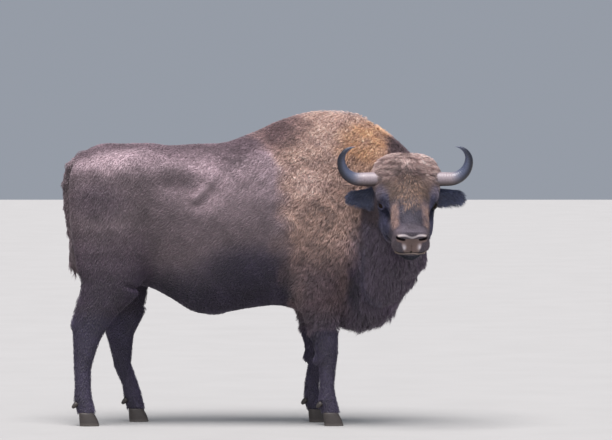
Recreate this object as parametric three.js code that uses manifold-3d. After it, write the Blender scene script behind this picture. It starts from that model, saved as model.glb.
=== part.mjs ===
// A young wisent bull (European bison), life size, standing square on four hooves with its head
// turned to its right. Millimetres. +X runs from rump to chest, +Y to the animal's left, +Z up.
//
// The flesh is one signed field, the body form out to the tips of the coat, built from a trunk and
// a head that follow measured stations and from tapered bars for neck, limbs, tail and ears. It is
// meshed region by region and parted with thin plane cuts. Horns, claws and dewclaws are lofts.

import * as THREE from "three";
import { mergeVertices } from "three/addons/utils/BufferGeometryUtils.js";
import Module from "manifold-3d";

const wasm = await Module();
wasm.setup();

// ---------------------------------------------------------------- driving dimensions

const GAP = 0.4; // between pieces that touch
const OFFSET_GAP = 1.0; // between pieces where one is meshed round the other
const EAR_CLEARANCE = 3; // between an ear and the shoulder behind it

// Trunk stations from rump to chest: x, top line, bottom line, half width, height of the widest
// level, and how round the upper and lower halves of the section are (2 is an ellipse).
const TRUNK = [
  // x, top, bottom, half width, widest, upper, lower
  [-1035, 1500, 860, 165, 1250, 2.0, 2.0],
  [-925, 1552, 820, 222, 1270, 1.9, 2.1],
  [-780, 1556, 780, 252, 1260, 1.85, 2.1],
  [-648, 1558, 755, 265, 1240, 1.8, 2.1],
  [-537, 1546, 700, 280, 1190, 1.85, 2.1],
  [-393, 1554, 618, 305, 1120, 1.9, 2.1],
  [-238, 1562, 618, 322, 1090, 1.85, 2.1],
  [-94, 1612, 642, 328, 1080, 1.7, 2.1],
  [72, 1688, 655, 322, 1080, 1.55, 2.1],
  [238, 1736, 610, 308, 1080, 1.5, 2.0],
  [393, 1742, 560, 275, 1080, 1.5, 1.9],
  [515, 1730, 540, 222, 1090, 1.55, 1.8],
];
const TRUNK_REAR_CAP = 55;
const TRUNK_FRONT_CAP = 120;

// The head's own frame: the point midway between the eyes, with a along the face towards the
// nose, b towards the animal's left and c out of the forehead.
const HEAD = {
  eyes: [772, -420, 1220],
  yaw: 6, // degrees, from straight right towards the front
  pitch: 36, // degrees that the line from eyes to nostrils drops
};
// Head stations: a, top, bottom, half width, level of the widest, upper and lower roundness.
const SKULL = [
  [-235, 120, -70, 136, 60, 2.0, 2.0],
  [-165, 174, -150, 180, 55, 2.1, 2.0],
  [-90, 164, -185, 182, 40, 2.2, 1.9],
  [-20, 126, -196, 164, 10, 2.3, 1.8],
  [50, 92, -190, 142, -30, 2.4, 1.8],
  [120, 62, -182, 120, -50, 2.4, 1.9],
  [185, 38, -172, 104, -62, 2.4, 2.1],
  [238, 18, -146, 94, -64, 2.4, 2.2],
];
const SKULL_REAR_CAP = 45;
const SKULL_FRONT_CAP = 24;

const EYE = { at: [-4, 141, 2], radius: 20 };
const HORN = {
  foot: [-130, 120, 86], // the buried foot, in the head's frame
  straight: { right: 137, left: 116 }, // outwards from the foot, before the hook
  hook: [
    { run: 165, turn: 90 },
    { run: 128, turn: 95 },
  ], // up and in, in degrees
  radius: 40,
  taper: 2.3, // the power by which it thins towards the tip
  lean: 12, // degrees that the hook leans towards the forehead, from upright
};

// Stance: where each leg's joints stand, from x, the distance from the midline, and the height.
const FORE_TRACK = 148;
const HIND_TRACK = 172;
const CORONET = 72; // top of the hooves
const FETLOCK = 165; // cut above the pastern
const JOINT_BLEND = 10; // how softly one length of a limb runs into the next
const THIGH_CAP = 130; // how far the thigh rounds off up into the croup
const THIGH_BLEND = 84; // how softly the thigh runs into the trunk
const ARM_BLEND = 50; // and the foreleg

const RIGHT = -1;
const LEFT = 1;

const COAT_DARK = 0x3a3236;
const COAT_BROWN = 0x5b4a47;
const COAT_TAWNY = 0x7d6255;
const COAT_BLACK = 0x2a2830;

// ---------------------------------------------------------------- field arithmetic

const lerp = (a, b, t) => a + (b - a) * t;
const length3 = (x, y, z) => Math.sqrt(x * x + y * y + z * z);
const clamp = (v, lo, hi) => Math.min(Math.max(v, lo), hi);

function smoothMin(a, b, k) {
  const h = Math.max(k - Math.abs(a - b), 0) / k;
  return Math.min(a, b) - (h * h * k) / 4;
}
const smoothMax = (a, b, k) => -smoothMin(-a, -b, k);

// Distance along the ray from the middle of a section: q is 1 on its surface.
const rayDistance = (radius, q) => radius * (1 - 1 / Math.max(q, 0.05));

// One column of a station table as a smooth function of the first column.
function stationCurve(table, column) {
  const xs = table.map((row) => row[0]);
  const ys = table.map((row) => row[column]);
  const last = xs.length - 1;
  const slope = ys.map((_, i) => {
    const before = Math.max(i - 1, 0);
    const after = Math.min(i + 1, last);
    return (ys[after] - ys[before]) / (xs[after] - xs[before]);
  });
  return (x) => {
    let i = 0;
    while (i < last - 1 && x > xs[i + 1]) i++;
    const span = xs[i + 1] - xs[i];
    const t = clamp((x - xs[i]) / span, 0, 1);
    const t2 = t * t;
    const t3 = t2 * t;
    return (
      (2 * t3 - 3 * t2 + 1) * ys[i] +
      (t3 - 2 * t2 + t) * span * slope[i] +
      (3 * t2 - 2 * t3) * ys[i + 1] +
      (t3 - t2) * span * slope[i + 1]
    );
  };
}

// A body that follows a station table along its first axis.
function stationField(table, rearCap, frontCap) {
  const [top, bottom, width, widest, upper, lower] = [1, 2, 3, 4, 5, 6].map((column) =>
    stationCurve(table, column),
  );
  const start = table[0][0];
  const end = table[table.length - 1][0];
  return (x, y, z) => {
    const at = clamp(x, start, end);
    const dz = z - widest(at);
    const half = dz > 0 ? top(at) - widest(at) : widest(at) - bottom(at);
    const n = dz > 0 ? upper(at) : lower(at);
    const round = (Math.abs(y) / width(at)) ** n + (Math.abs(dz) / half) ** n;
    const over = x - at;
    const cap = over > 0 ? frontCap : rearCap;
    const q = length3(round ** (1 / n), over / cap, 0);
    return rayDistance(length3(y, dz, over), q);
  };
}

// A tapered bar with elliptical sections from one point to another. `side` and `rise` are its
// half sizes at both ends, across and along `up`, and `cap` is how far its ends round out.
function bar({ from, to, side, rise, cap, up = [0, 0, 1] }) {
  const a = new THREE.Vector3(...from);
  const along = new THREE.Vector3(...to).sub(a);
  const length = along.length();
  along.normalize();
  const across = new THREE.Vector3().crossVectors(new THREE.Vector3(...up), along).normalize();
  const high = new THREE.Vector3().crossVectors(along, across);
  return (x, y, z) => {
    const [dx, dy, dz] = [x - a.x, y - a.y, z - a.z];
    const s = dx * along.x + dy * along.y + dz * along.z;
    const v = dx * across.x + dy * across.y + dz * across.z;
    const w = dx * high.x + dy * high.y + dz * high.z;
    const t = clamp(s / length, 0, 1);
    const over = s - t * length;
    const q = length3(v / lerp(side[0], side[1], t), w / lerp(rise[0], rise[1], t), over / cap);
    return rayDistance(length3(v, w, over), q);
  };
}

// An ellipsoid, leaned by `pitch` degrees about Y: positive tips its front end down.
function egg({ at, radii, pitch = 0 }) {
  const c = Math.cos(THREE.MathUtils.degToRad(pitch));
  const s = Math.sin(THREE.MathUtils.degToRad(pitch));
  return (x, y, z) => {
    const dx = x - at[0];
    const dz = z - at[2];
    const u = dx * c - dz * s;
    const v = y - at[1];
    const w = dx * s + dz * c;
    const q = length3(u / radii[0], v / radii[1], w / radii[2]);
    return rayDistance(length3(u, v, w), q);
  };
}

// Adds forms one after another, each blended in over its own width.
function blended(base, forms) {
  return (x, y, z) => {
    let d = base(x, y, z);
    for (const { form, blend, cut } of forms) {
      const e = form(x, y, z);
      d = cut ? smoothMax(d, -e, blend) : smoothMin(d, e, blend);
    }
    return d;
  };
}
const add = (form, blend) => ({ form, blend });
const hollow = (form, blend) => ({ form, blend, cut: true });
const mirrored = (point, sign) => [point[0], point[1] * sign, point[2]];
const bothSides = (make) => [RIGHT, LEFT].flatMap(make);

// ---------------------------------------------------------------- the head's frame

const pitch = THREE.MathUtils.degToRad(HEAD.pitch);
const yaw = THREE.MathUtils.degToRad(HEAD.yaw);
const FACE = new THREE.Vector3(
  Math.sin(yaw) * Math.cos(pitch),
  -Math.cos(yaw) * Math.cos(pitch),
  -Math.sin(pitch),
);
const HEAD_LEFT = new THREE.Vector3(Math.cos(yaw), Math.sin(yaw), 0);
const CROWN = new THREE.Vector3().crossVectors(FACE, HEAD_LEFT);
const headFrame = new THREE.Matrix4()
  .makeBasis(FACE, HEAD_LEFT, CROWN)
  .setPosition(...HEAD.eyes);
const intoHead = headFrame.clone().invert();
const UPRIGHT = [-Math.sin(pitch), 0, Math.cos(pitch)]; // straight up, in the head's frame

const fromHead = (a, b, c) => new THREE.Vector3(a, b, c).applyMatrix4(headFrame);

function inHeadFrame(field) {
  const m = intoHead.elements;
  return (x, y, z) =>
    field(
      m[0] * x + m[4] * y + m[8] * z + m[12],
      m[1] * x + m[5] * y + m[9] * z + m[13],
      m[2] * x + m[6] * y + m[10] * z + m[14],
    );
}

// ---------------------------------------------------------------- the flesh

const headField = inHeadFrame(
  blended(stationField(SKULL, SKULL_REAR_CAP, SKULL_FRONT_CAP), [
    add(egg({ at: [-205, 0, 118], radii: [82, 172, 78], pitch: -30 }), 56), // crown wool
    ...bothSides((s) => [
      add(egg({ at: [-160, 130 * s, 92], radii: [62, 60, 54] }), 40), // wool over the horn's foot
      add(egg({ at: [-30, 118 * s, 52], radii: [52, 42, 34] }), 30), // brow
      add(egg({ at: [30, 92 * s, -118], radii: [100, 48, 78] }), 40), // cheek
      add(egg({ at: [228, 50 * s, -96], radii: [46, 52, 48] }), 30), // upper lip
      add(egg({ at: [220, 50 * s, -20], radii: [38, 38, 34] }), 20), // nostril wing
      hollow(egg({ at: [60, 122 * s, -14], radii: [72, 26, 26] }), 30), // below the eye
    ]),
    add(egg({ at: [206, 0, -158], radii: [52, 56, 34] }), 24), // chin
    add(
      bar({ from: [20, 0, -150], to: [170, 0, -150], side: [62, 46], rise: [70, 40], cap: 40 }),
      50,
    ), // throat between the jaws
  ]),
);

function earField(s) {
  return inHeadFrame(
    blended(
      bar({
        from: [-104, 150 * s, -24],
        to: [-106, 278 * s, -22],
        side: [26, 19],
        rise: [60, 43],
        cap: 50,
        up: UPRIGHT,
      }),
      [
        hollow(
          bar({
            from: [-78, 204 * s, -22],
            to: [-84, 262 * s, -22],
            side: [15, 11],
            rise: [28, 22],
            cap: 24,
            up: UPRIGHT,
          }),
          14,
        ),
      ],
    ),
  );
}

const neckField = blended(
  bar({ from: [430, 0, 1130], to: [690, -180, 1180], side: [222, 160], rise: [560, 385], cap: 90 }),
  [
    add(
      bar({
        from: [600, -80, 1230],
        to: [740, -270, 1240],
        side: [170, 140],
        rise: [350, 240],
        cap: 70,
      }),
      90,
    ),
    add(
      bar({
        from: [520, -10, 1490],
        to: [700, -140, 1392],
        side: [140, 120],
        rise: [205, 156],
        cap: 70,
      }),
      90,
    ), // crest
    add(
      bar({
        from: [600, -40, 700],
        to: [770, -260, 960],
        side: [130, 100],
        rise: [120, 120],
        cap: 80,
      }),
      110,
    ), // throat mane, from the brisket up to the jaw
    add(
      bar({
        from: [770, -270, 960],
        to: [795, -410, 1010],
        side: [85, 62],
        rise: [105, 80],
        cap: 60,
      }),
      70,
    ), // beard under the jaw
    add(egg({ at: [500, 0, 640], radii: [190, 120, 105] }), 90), // brisket
  ],
);

// A limb is a chain of bars between its joints. The first bar may round off further.
function limb(joints, blend, cap = 40, firstCap = cap) {
  const bars = joints.slice(1).map((joint, i) => {
    const before = joints[i];
    return bar({
      from: before.at,
      to: joint.at,
      side: [before.side, joint.side],
      rise: [before.depth, joint.depth],
      cap: i ? cap : firstCap,
      up: [1, 0, 0],
    });
  });
  return blended(
    bars[0],
    bars.slice(1).map((form) => add(form, blend)),
  );
}

// A foreleg, with the knee at kneeX and the fetlock at fetlockX.
function foreleg(s, { elbowX, kneeX, fetlockX }) {
  const track = FORE_TRACK * s;
  return blended(
    limb(
      [
        { at: [elbowX - 10, 175 * s, 800], side: 100, depth: 150 },
        { at: [elbowX + 12, 168 * s, 640], side: 82, depth: 112 },
        { at: [lerp(elbowX, kneeX, 0.7), 158 * s, 500], side: 58, depth: 76 },
        { at: [kneeX, track, 405], side: 52, depth: 62 },
        { at: [kneeX + 2, track, 330], side: 42, depth: 50 },
        { at: [fetlockX - 2, track, 215], side: 37, depth: 42 },
        { at: [fetlockX, track, 150], side: 42, depth: 50 },
        { at: [fetlockX + 22, track, 62], side: 46, depth: 52 },
      ],
      JOINT_BLEND,
    ),
    [
      add(egg({ at: [kneeX - 44, track, 372], radii: [30, 26, 40], pitch: 20 }), 22), // knee tuft
      add(egg({ at: [elbowX - 62, 196 * s, 700], radii: [70, 46, 62] }), 60), // elbow
    ],
  );
}

// A hind leg, from the thigh to the hoof.
function hindleg(s, { stifleX, gaskinX, hockX, cannonX, fetlockX }) {
  const track = HIND_TRACK * s;
  return blended(
    limb(
      [
        { at: [-862, 118 * s, 1240], side: 104, depth: 205 },
        { at: [-856, 148 * s, 1080], side: 108, depth: 214 },
        { at: [stifleX - 60, 160 * s, 960], side: 104, depth: 212 },
        { at: [stifleX - 66, 167 * s, 870], side: 97, depth: 195 },
        { at: [stifleX - 70, 169 * s, 800], side: 88, depth: 172 },
        { at: [gaskinX, 172 * s, 650], side: 66, depth: 112 },
        { at: [hockX, track, 510], side: 52, depth: 84 },
        { at: [lerp(hockX, cannonX, 0.6), track, 410], side: 46, depth: 64 },
        { at: [cannonX, track, 320], side: 40, depth: 50 },
        { at: [lerp(cannonX, fetlockX, 0.75), track, 215], side: 38, depth: 46 },
        { at: [fetlockX, track, 150], side: 43, depth: 52 },
        { at: [fetlockX + 22, track, 62], side: 46, depth: 52 },
      ],
      JOINT_BLEND,
      40,
      THIGH_CAP,
    ),
    [
      add(
        bar({
          from: [hockX - 66, track, 552],
          to: [gaskinX - 84, 172 * s, 690],
          side: [26, 20],
          rise: [30, 24],
          cap: 22,
          up: [1, 0, 0],
        }),
        30,
      ), // point of the hock and its tendon
    ],
  );
}

const LEGS = {
  foreleg_right: foreleg(RIGHT, { elbowX: 292, kneeX: 332, fetlockX: 333 }),
  foreleg_left: foreleg(LEFT, { elbowX: 252, kneeX: 274, fetlockX: 250 }),
  hindleg_right: hindleg(RIGHT, {
    stifleX: -790,
    gaskinX: -938,
    hockX: -990,
    cannonX: -1016,
    fetlockX: -1014,
  }),
  hindleg_left: hindleg(LEFT, {
    stifleX: -745,
    gaskinX: -782,
    hockX: -822,
    cannonX: -808,
    fetlockX: -752,
  }),
};

const trunkField = blended(stationField(TRUNK, TRUNK_REAR_CAP, TRUNK_FRONT_CAP), [
  ...bothSides((s) => [
    add(
      bar({
        from: [320, 126 * s, 1440],
        to: [380, 203 * s, 1000],
        side: [88, 108],
        rise: [180, 160],
        cap: 110,
        up: [1, 0, 0],
      }),
      90,
    ), // shoulder blade
    add(
      bar({
        from: [385, 203 * s, 960],
        to: [240, 195 * s, 770],
        side: [105, 95],
        rise: [150, 120],
        cap: 90,
        up: [1, 0, 0],
      }),
      80,
    ), // upper arm
    add(egg({ at: [-505, 222 * s, 1398], radii: [84, 40, 56], pitch: 20 }), 70), // hip bone
    add(egg({ at: [-720, 140 * s, 1388], radii: [250, 92, 100] }), 90), // croup muscle
    add(egg({ at: [-1020, 96 * s, 1330], radii: [66, 66, 120] }), 50), // pin bone and buttock
    hollow(egg({ at: [-385, 336 * s, 1318], radii: [110, 62, 76], pitch: 20 }), 80), // flank hollow
    add(
      bar({
        from: [-205, 168 * s, 1465],
        to: [-372, 262 * s, 1270],
        side: [24, 24],
        rise: [24, 24],
        cap: 40,
      }),
      44,
    ), // the arch of the last ribs
  ]),
  add(egg({ at: [-322, 0, 626], radii: [120, 40, 17] }), 40), // sheath
]);

const bodyField = blended(trunkField, [
  add(neckField, 70),
  add(headField, 60),
  ...Object.entries(LEGS).map(([name, form]) =>
    add(form, name.startsWith("hindleg") ? THIGH_BLEND : ARM_BLEND),
  ),
]);

const tailField = limb(
  [
    { at: [-1010, 0, 1486], side: 46, depth: 38 },
    { at: [-1084, 0, 1424], side: 38, depth: 33 },
    { at: [-1110, 0, 1330], side: 32, depth: 28 },
    { at: [-1104, 0, 1200], side: 28, depth: 25 },
    { at: [-1082, 0, 1070], side: 33, depth: 29 },
    { at: [-1066, 0, 920], side: 38, depth: 33 },
    { at: [-1058, 0, 800], side: 16, depth: 14 },
  ],
  16,
  24,
);

// ---------------------------------------------------------------- meshing and cutting

const CORNERS = [0, 1, 2, 3, 4, 5, 6, 7].map((c) => [c & 1, (c >> 1) & 1, c >> 2]);
const EDGES = CORNERS.flatMap((_, c) =>
  [1, 2, 4].filter((bit) => !(c & bit)).map((bit) => [c, c | bit]),
);

// Meshes the level `iso` of a field with surface nets, closed off where the box ends.
function netOf(field, low, high, step, iso = 0) {
  const n = [0, 1, 2].map((i) => Math.ceil((high[i] - low[i]) / step[i]) + 1);
  const key = (i, j, k) => (k * n[1] + j) * n[0] + i;
  const onRim = (i, j, k) => [i, j, k].some((v, m) => v === 0 || v === n[m] - 1);
  const level = (x, y, z) => field(x, y, z) - iso;
  const nodes = function* (end) {
    for (let k = 0; k < n[2] - end; k++)
      for (let j = 0; j < n[1] - end; j++)
        for (let i = 0; i < n[0] - end; i++) yield [i, j, k];
  };

  const values = new Float32Array(n[0] * n[1] * n[2]);
  for (const at of nodes(0)) {
    const value = level(...at.map((v, m) => low[m] + v * step[m]));
    values[key(...at)] = onRim(...at) ? Math.max(value, 1) : value;
  }
  // A grid face that is inside at two opposite corners alone would pinch the surface, so one of
  // its outer corners is filled.
  for (let filled = true; filled; ) {
    filled = false;
    for (const at of nodes(1))
      for (let m = 0; m < 3; m++) {
        const [u, w] = [(m + 1) % 3, (m + 2) % 3];
        const face = [[], [u], [u, w], [w]].map((axes) => at.map((a, i) => a + axes.includes(i)));
        const inner = face.map((corner) => values[key(...corner)] < 0);
        if (inner[0] !== inner[2] || inner[1] !== inner[3] || inner[0] === inner[1]) continue;
        const [open] = face
          .filter((corner, i) => !inner[i] && !onRim(...corner))
          .sort((a, b) => values[key(...a)] - values[key(...b)]);
        values[key(...open)] = -1;
        filled = true;
      }
  }

  const vertexOf = new Map();
  const positions = [];
  for (const at of nodes(1)) {
    const v = CORNERS.map((corner) => values[key(...at.map((a, m) => a + corner[m]))]);
    const crossed = EDGES.filter(([a, b]) => v[a] < 0 !== v[b] < 0);
    if (!crossed.length) continue;
    const sum = [0, 0, 0];
    for (const [a, b] of crossed) {
      const t = v[a] / (v[a] - v[b]);
      for (let m = 0; m < 3; m++) sum[m] += lerp(CORNERS[a][m], CORNERS[b][m], t);
    }
    const point = at.map((a, m) => low[m] + (a + sum[m] / crossed.length) * step[m]);
    const free = at.every((a, m) => a > 0 && a < n[m] - 2);
    vertexOf.set(key(...at), positions.length / 3);
    positions.push(...(free ? ontoSurface(level, point, Math.min(...step) / 3) : point));
  }

  const faces = [];
  for (const at of nodes(1))
    for (let m = 0; m < 3; m++) {
      const [u, w] = [(m + 1) % 3, (m + 2) % 3];
      if (!at[u] || !at[w]) continue;
      const shifted = (axis, by) => at.map((a, i) => a + (axis.includes(i) ? by : 0));
      const inside = values[key(...at)] < 0;
      if (inside === values[key(...shifted([m], 1))] < 0) continue;
      const [a, b, c, d] = [[u, w], [w], [], [u]].map((axes) =>
        vertexOf.get(key(...shifted(axes, -1))),
      );
      faces.push(...(inside ? [a, b, c, a, c, d] : [a, c, b, a, d, c]));
    }
  return new THREE.BufferGeometry()
    .setAttribute("position", new THREE.Float32BufferAttribute(positions, 3))
    .setIndex(faces);
}

// Moves a point towards the field's surface along its slope, by at most `reach`.
function ontoSurface(level, p, reach) {
  const e = 1;
  let point = p;
  for (let round = 0; round < 3; round++) {
    const [x, y, z] = point;
    const d = level(x, y, z);
    const g = [
      (level(x + e, y, z) - level(x - e, y, z)) / (2 * e),
      (level(x, y + e, z) - level(x, y - e, z)) / (2 * e),
      (level(x, y, z + e) - level(x, y, z - e)) / (2 * e),
    ];
    const move = clamp(d / Math.max(g[0] ** 2 + g[1] ** 2 + g[2] ** 2, 0.1), -reach, reach);
    point = point.map((v, i) => v - g[i] * move);
  }
  return point;
}

function toSolid(geometry) {
  const bare = geometry.clone();
  bare.deleteAttribute("normal");
  bare.deleteAttribute("uv");
  const merged = mergeVertices(bare, 1e-3);
  return new wasm.Manifold(
    new wasm.Mesh({
      numProp: 3,
      vertProperties: new Float32Array(merged.attributes.position.array),
      triVerts: new Uint32Array(merged.index.array),
    }),
  );
}

function toGeometry(solid) {
  const { numProp, vertProperties, triVerts } = solid.getMesh();
  const positions = [];
  for (let i = 0; i < vertProperties.length; i += numProp)
    positions.push(vertProperties[i], vertProperties[i + 1], vertProperties[i + 2]);
  const geometry = new THREE.BufferGeometry()
    .setAttribute("position", new THREE.Float32BufferAttribute(positions, 3))
    .setIndex(Array.from(triVerts));
  geometry.computeVertexNormals();
  return geometry;
}

// A solid box between two corners, placed by a matrix where one is given.
function boxBetween(low, high, matrix) {
  const size = high.map((v, i) => v - low[i]);
  const centre = high.map((v, i) => (v + low[i]) / 2);
  const geometry = new THREE.BoxGeometry(...size).translate(...centre);
  if (matrix) geometry.applyMatrix4(matrix);
  return toSolid(geometry);
}

// A plane through a point. `above` is the side that its normal points to.
const plane = (point, normal) => ({
  normal: new THREE.Vector3(...normal).normalize(),
  point: new THREE.Vector3(...point),
});

// Keeps what lies more than half a gap on the normal's side of a plane.
const above = (solid, { normal, point }) =>
  solid.trimByPlane(normal.toArray(), normal.dot(point) + GAP / 2);
const below = (solid, { normal, point }) =>
  above(solid, { normal: normal.clone().negate(), point });

// ---------------------------------------------------------------- lofted pieces

// Joins rings of points into one closed geometry with pointed or flat ends.
function loft(rings) {
  const count = rings[0].length;
  const positions = rings.flat().flatMap((p) => p.toArray());
  const index = [];
  for (let r = 0; r < rings.length - 1; r++)
    for (let i = 0; i < count; i++) {
      const a = r * count + i;
      const b = r * count + ((i + 1) % count);
      index.push(a, b, b + count, a, b + count, a + count);
    }
  [0, rings.length - 1].forEach((r, end) => {
    const centre = rings[r]
      .reduce((sum, p) => sum.add(p), new THREE.Vector3())
      .divideScalar(count);
    const middle = positions.length / 3;
    positions.push(...centre.toArray());
    for (let i = 0; i < count; i++) {
      const a = r * count + i;
      const b = r * count + ((i + 1) % count);
      index.push(...(end ? [a, b, middle] : [b, a, middle]));
    }
  });
  return new THREE.BufferGeometry()
    .setAttribute("position", new THREE.Float32BufferAttribute(positions, 3))
    .setIndex(index);
}

// The horn's centre line and radius at t, from 0 at its foot to 1 at its tip.
function hornAt(t, s) {
  const straight = s === LEFT ? HORN.straight.left : HORN.straight.right;
  const bends = [{ run: straight, turn: 0 }, ...HORN.hook];
  const total = bends.reduce((sum, { run }) => sum + run, 0);
  let left = t * total;
  let heading = 0;
  let out = 0;
  let rise = 0;
  for (const { run, turn } of bends) {
    const step = Math.min(left, run);
    const half = (THREE.MathUtils.degToRad(turn) * step) / run / 2;
    const chord = half > 0 ? (step * Math.sin(half)) / half : step;
    out += chord * Math.cos(heading + half);
    rise += chord * Math.sin(heading + half);
    heading += 2 * half;
    left -= step;
  }
  const lean = THREE.MathUtils.degToRad(HEAD.pitch - HORN.lean);
  const [a, b, c] = HORN.foot;
  return {
    at: fromHead(a - Math.sin(lean) * rise, (b + out) * s, c + Math.cos(lean) * rise),
    radius: HORN.radius * (1 - t ** HORN.taper),
  };
}

function hornGeometry(s, grow = 0) {
  const sides = 8;
  const steps = 12;
  const rings = [];
  for (let i = 0; i <= steps; i++) {
    const t = (i / steps) * 0.985;
    const { at, radius } = hornAt(t, s);
    const ahead = hornAt(t + 0.01, s).at.sub(hornAt(Math.max(t - 0.01, 0), s).at).normalize();
    const across = new THREE.Vector3().crossVectors(ahead, FACE).normalize();
    const third = new THREE.Vector3().crossVectors(ahead, across);
    if (i === 0) at.addScaledVector(ahead, -grow);
    rings.push(
      Array.from({ length: sides }, (_, k) => {
        const angle = (k / sides) * Math.PI * 2;
        return at
          .clone()
          .addScaledVector(across, Math.cos(angle) * (radius + grow))
          .addScaledVector(third, Math.sin(angle) * (radius + grow));
      }),
    );
  }
  return loft(rings);
}

// One claw of a cloven hoof: a D-shaped toe, flat below, its wall sloping back to the coronet.
function clawGeometry(x, y, s, inner) {
  const levels = [
    { z: 0, length: 62, width: 26, back: 0 },
    { z: 34, length: 57, width: 25, back: 6 },
    { z: CORONET - GAP / 2, length: 48, width: 23, back: 16 },
  ];
  const sides = 10;
  return loft(
    levels.map(({ z, length, width, back }) =>
      Array.from({ length: sides }, (_, k) => {
        const angle = (k / sides) * Math.PI * 2;
        const along = Math.cos(angle) * (Math.cos(angle) > 0 ? length : length * 0.72);
        const across = Math.sin(angle) * width * (1 - 0.22 * Math.max(Math.cos(angle), 0));
        return new THREE.Vector3(x - back + along, y + across + inner * s * back * 0.1, z);
      }),
    ),
  );
}

// A dewclaw: a small blunt cone behind the fetlock, tipped back and down.
function dewclawGeometry(at, grow = 0) {
  const sides = 6;
  const levels = [
    { along: -14, radius: 14 },
    { along: 10, radius: 13 },
    { along: 26, radius: 6 },
  ];
  const direction = new THREE.Vector3(-0.72, 0, -0.7).normalize();
  const up = new THREE.Vector3(0, 1, 0).cross(direction);
  return loft(
    levels.map(({ along, radius }) =>
      Array.from({ length: sides }, (_, k) => {
        const angle = (k / sides) * Math.PI * 2;
        return new THREE.Vector3(...at)
          .addScaledVector(direction, along + (along > 0 ? grow : -grow))
          .addScaledVector(up, Math.cos(angle) * (radius + grow))
          .add(new THREE.Vector3(0, Math.sin(angle) * (radius + grow), 0));
      }),
    ),
  );
}

// ---------------------------------------------------------------- materials and nodes

const wisent = new THREE.Group();
const finish = (color, roughness) =>
  new THREE.MeshStandardMaterial({ color, roughness, metalness: 0 });
const MATERIALS = {
  dark: finish(COAT_DARK, 0.95),
  brown: finish(COAT_BROWN, 0.95),
  tawny: finish(COAT_TAWNY, 0.95),
  black: finish(COAT_BLACK, 0.95),
  horn: finish(0x4a4a52, 0.45),
  claw: finish(0x2b2826, 0.5),
  eye: finish(0x14100e, 0.08),
};

function place(name, solid, material) {
  const mesh = new THREE.Mesh(toGeometry(solid), MATERIALS[material]);
  mesh.name = name;
  wisent.add(mesh);
}

// ---------------------------------------------------------------- horns, eyes and ears

function eyeSolid(s, grow = 0) {
  const sphere = new THREE.SphereGeometry(EYE.radius + grow, 8, 6);
  const [a, b, c] = mirrored(EYE.at, s);
  return toSolid(sphere.translate(...fromHead(a, b, c).toArray()));
}

// Planes that part the head from the neck and the neck from the trunk, and the space of an ear.
const NAPE = plane(
  fromHead(-158, 0, -25).toArray(),
  FACE.clone().multiplyScalar(0.894).addScaledVector(CROWN, 0.447).toArray(),
);
const SHOULDER_LINE = plane([560, 0, 1100], [1, 0.1, 0.1]);
function earBox(s, grow) {
  const [near, far] = s > 0 ? [172 - grow, 370] : [-370, grow - 172];
  return boxBetween([-260 - grow, near, -110 - grow], [grow, far, 60 + grow], headFrame);
}

const HEAD_CELL = [43, 43, 43];
const EAR_CELL = [22, 15, 22];
const headNet = toSolid(netOf(bodyField, [520, -730, 560], [1040, 0, 1620], HEAD_CELL));
let head = above(above(headNet, NAPE), SHOULDER_LINE);
const earSpaces = [];

for (const [side, s] of [
  ["right", RIGHT],
  ["left", LEFT],
]) {
  place(`horn_${side}`, toSolid(hornGeometry(s)), "horn");
  place(`eye_${side}`, eyeSolid(s), "eye");
  const hornSocket = toSolid(hornGeometry(s, OFFSET_GAP));
  head = head.subtract(hornSocket).subtract(eyeSolid(s, OFFSET_GAP));

  const form = blended(headField, [add(earField(s), 16)]);
  const centre = fromHead(-120, 240 * s, -30).toArray();
  const low = centre.map((v) => v - 150);
  const high = centre.map((v) => v + 150);
  const ear = toSolid(netOf(form, low, high, EAR_CELL));
  place(`ear_${side}`, ear.intersect(earBox(s, 0)).subtract(hornSocket), "black");
  const grown = toSolid(netOf(form, low, high, EAR_CELL, EAR_CLEARANCE));
  earSpaces.push(grown.intersect(earBox(s, GAP)));
  head = head.subtract(earBox(s, GAP));
}

// The lower jaw: below the line of the mouth, in front of the cheek.
const mouthBox = (grow) =>
  boxBetween(
    [60 - grow, -220, -400],
    [420, 220, -122 + grow],
    headFrame.clone().multiply(new THREE.Matrix4().makeRotationY(0.05)),
  );
place("lower_jaw", head.intersect(mouthBox(0)), "dark");
place("head", head.subtract(mouthBox(GAP)), "brown");

// ---------------------------------------------------------------- neck and trunk

const LAST_RIB = plane([40, 0, 0], [1, 0, 0]);
const LOIN = plane([-500, 0, 0], [1, 0, 0]);

const neckNet = toSolid(netOf(bodyField, [440, -600, 420], [1060, 340, 1800], [68, 66, 72]));
const neck = above(below(neckNet, NAPE), SHOULDER_LINE);
place("neck", neck.subtract(earSpaces[0]).subtract(earSpaces[1]), "brown");

// The part of space that belongs to one leg: outside the chest or belly, below a sloping plane.
const LEG_SPACE = {
  fore: { x: [60, 406], inner: 89, cut: (s) => plane([0, 60 * s, 548], [0, -0.5 * s, 1]) },
  hind: { x: [-1300, -640], inner: 76, cut: (s) => plane([0, 60 * s, 754], [0, -0.2 * s, 1]) },
};
function legSpace(kind, s, grow) {
  const { x, inner, cut } = LEG_SPACE[kind];
  const [low, high] = s > 0 ? [inner, 420] : [-420, -inner];
  const box = boxBetween([x[0] - grow, low - grow, -20], [x[1] + grow, high + grow, 1000]);
  const { point, normal } = cut(s);
  return below(box, { normal, point: point.clone().addScaledVector(normal, grow) });
}

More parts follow.
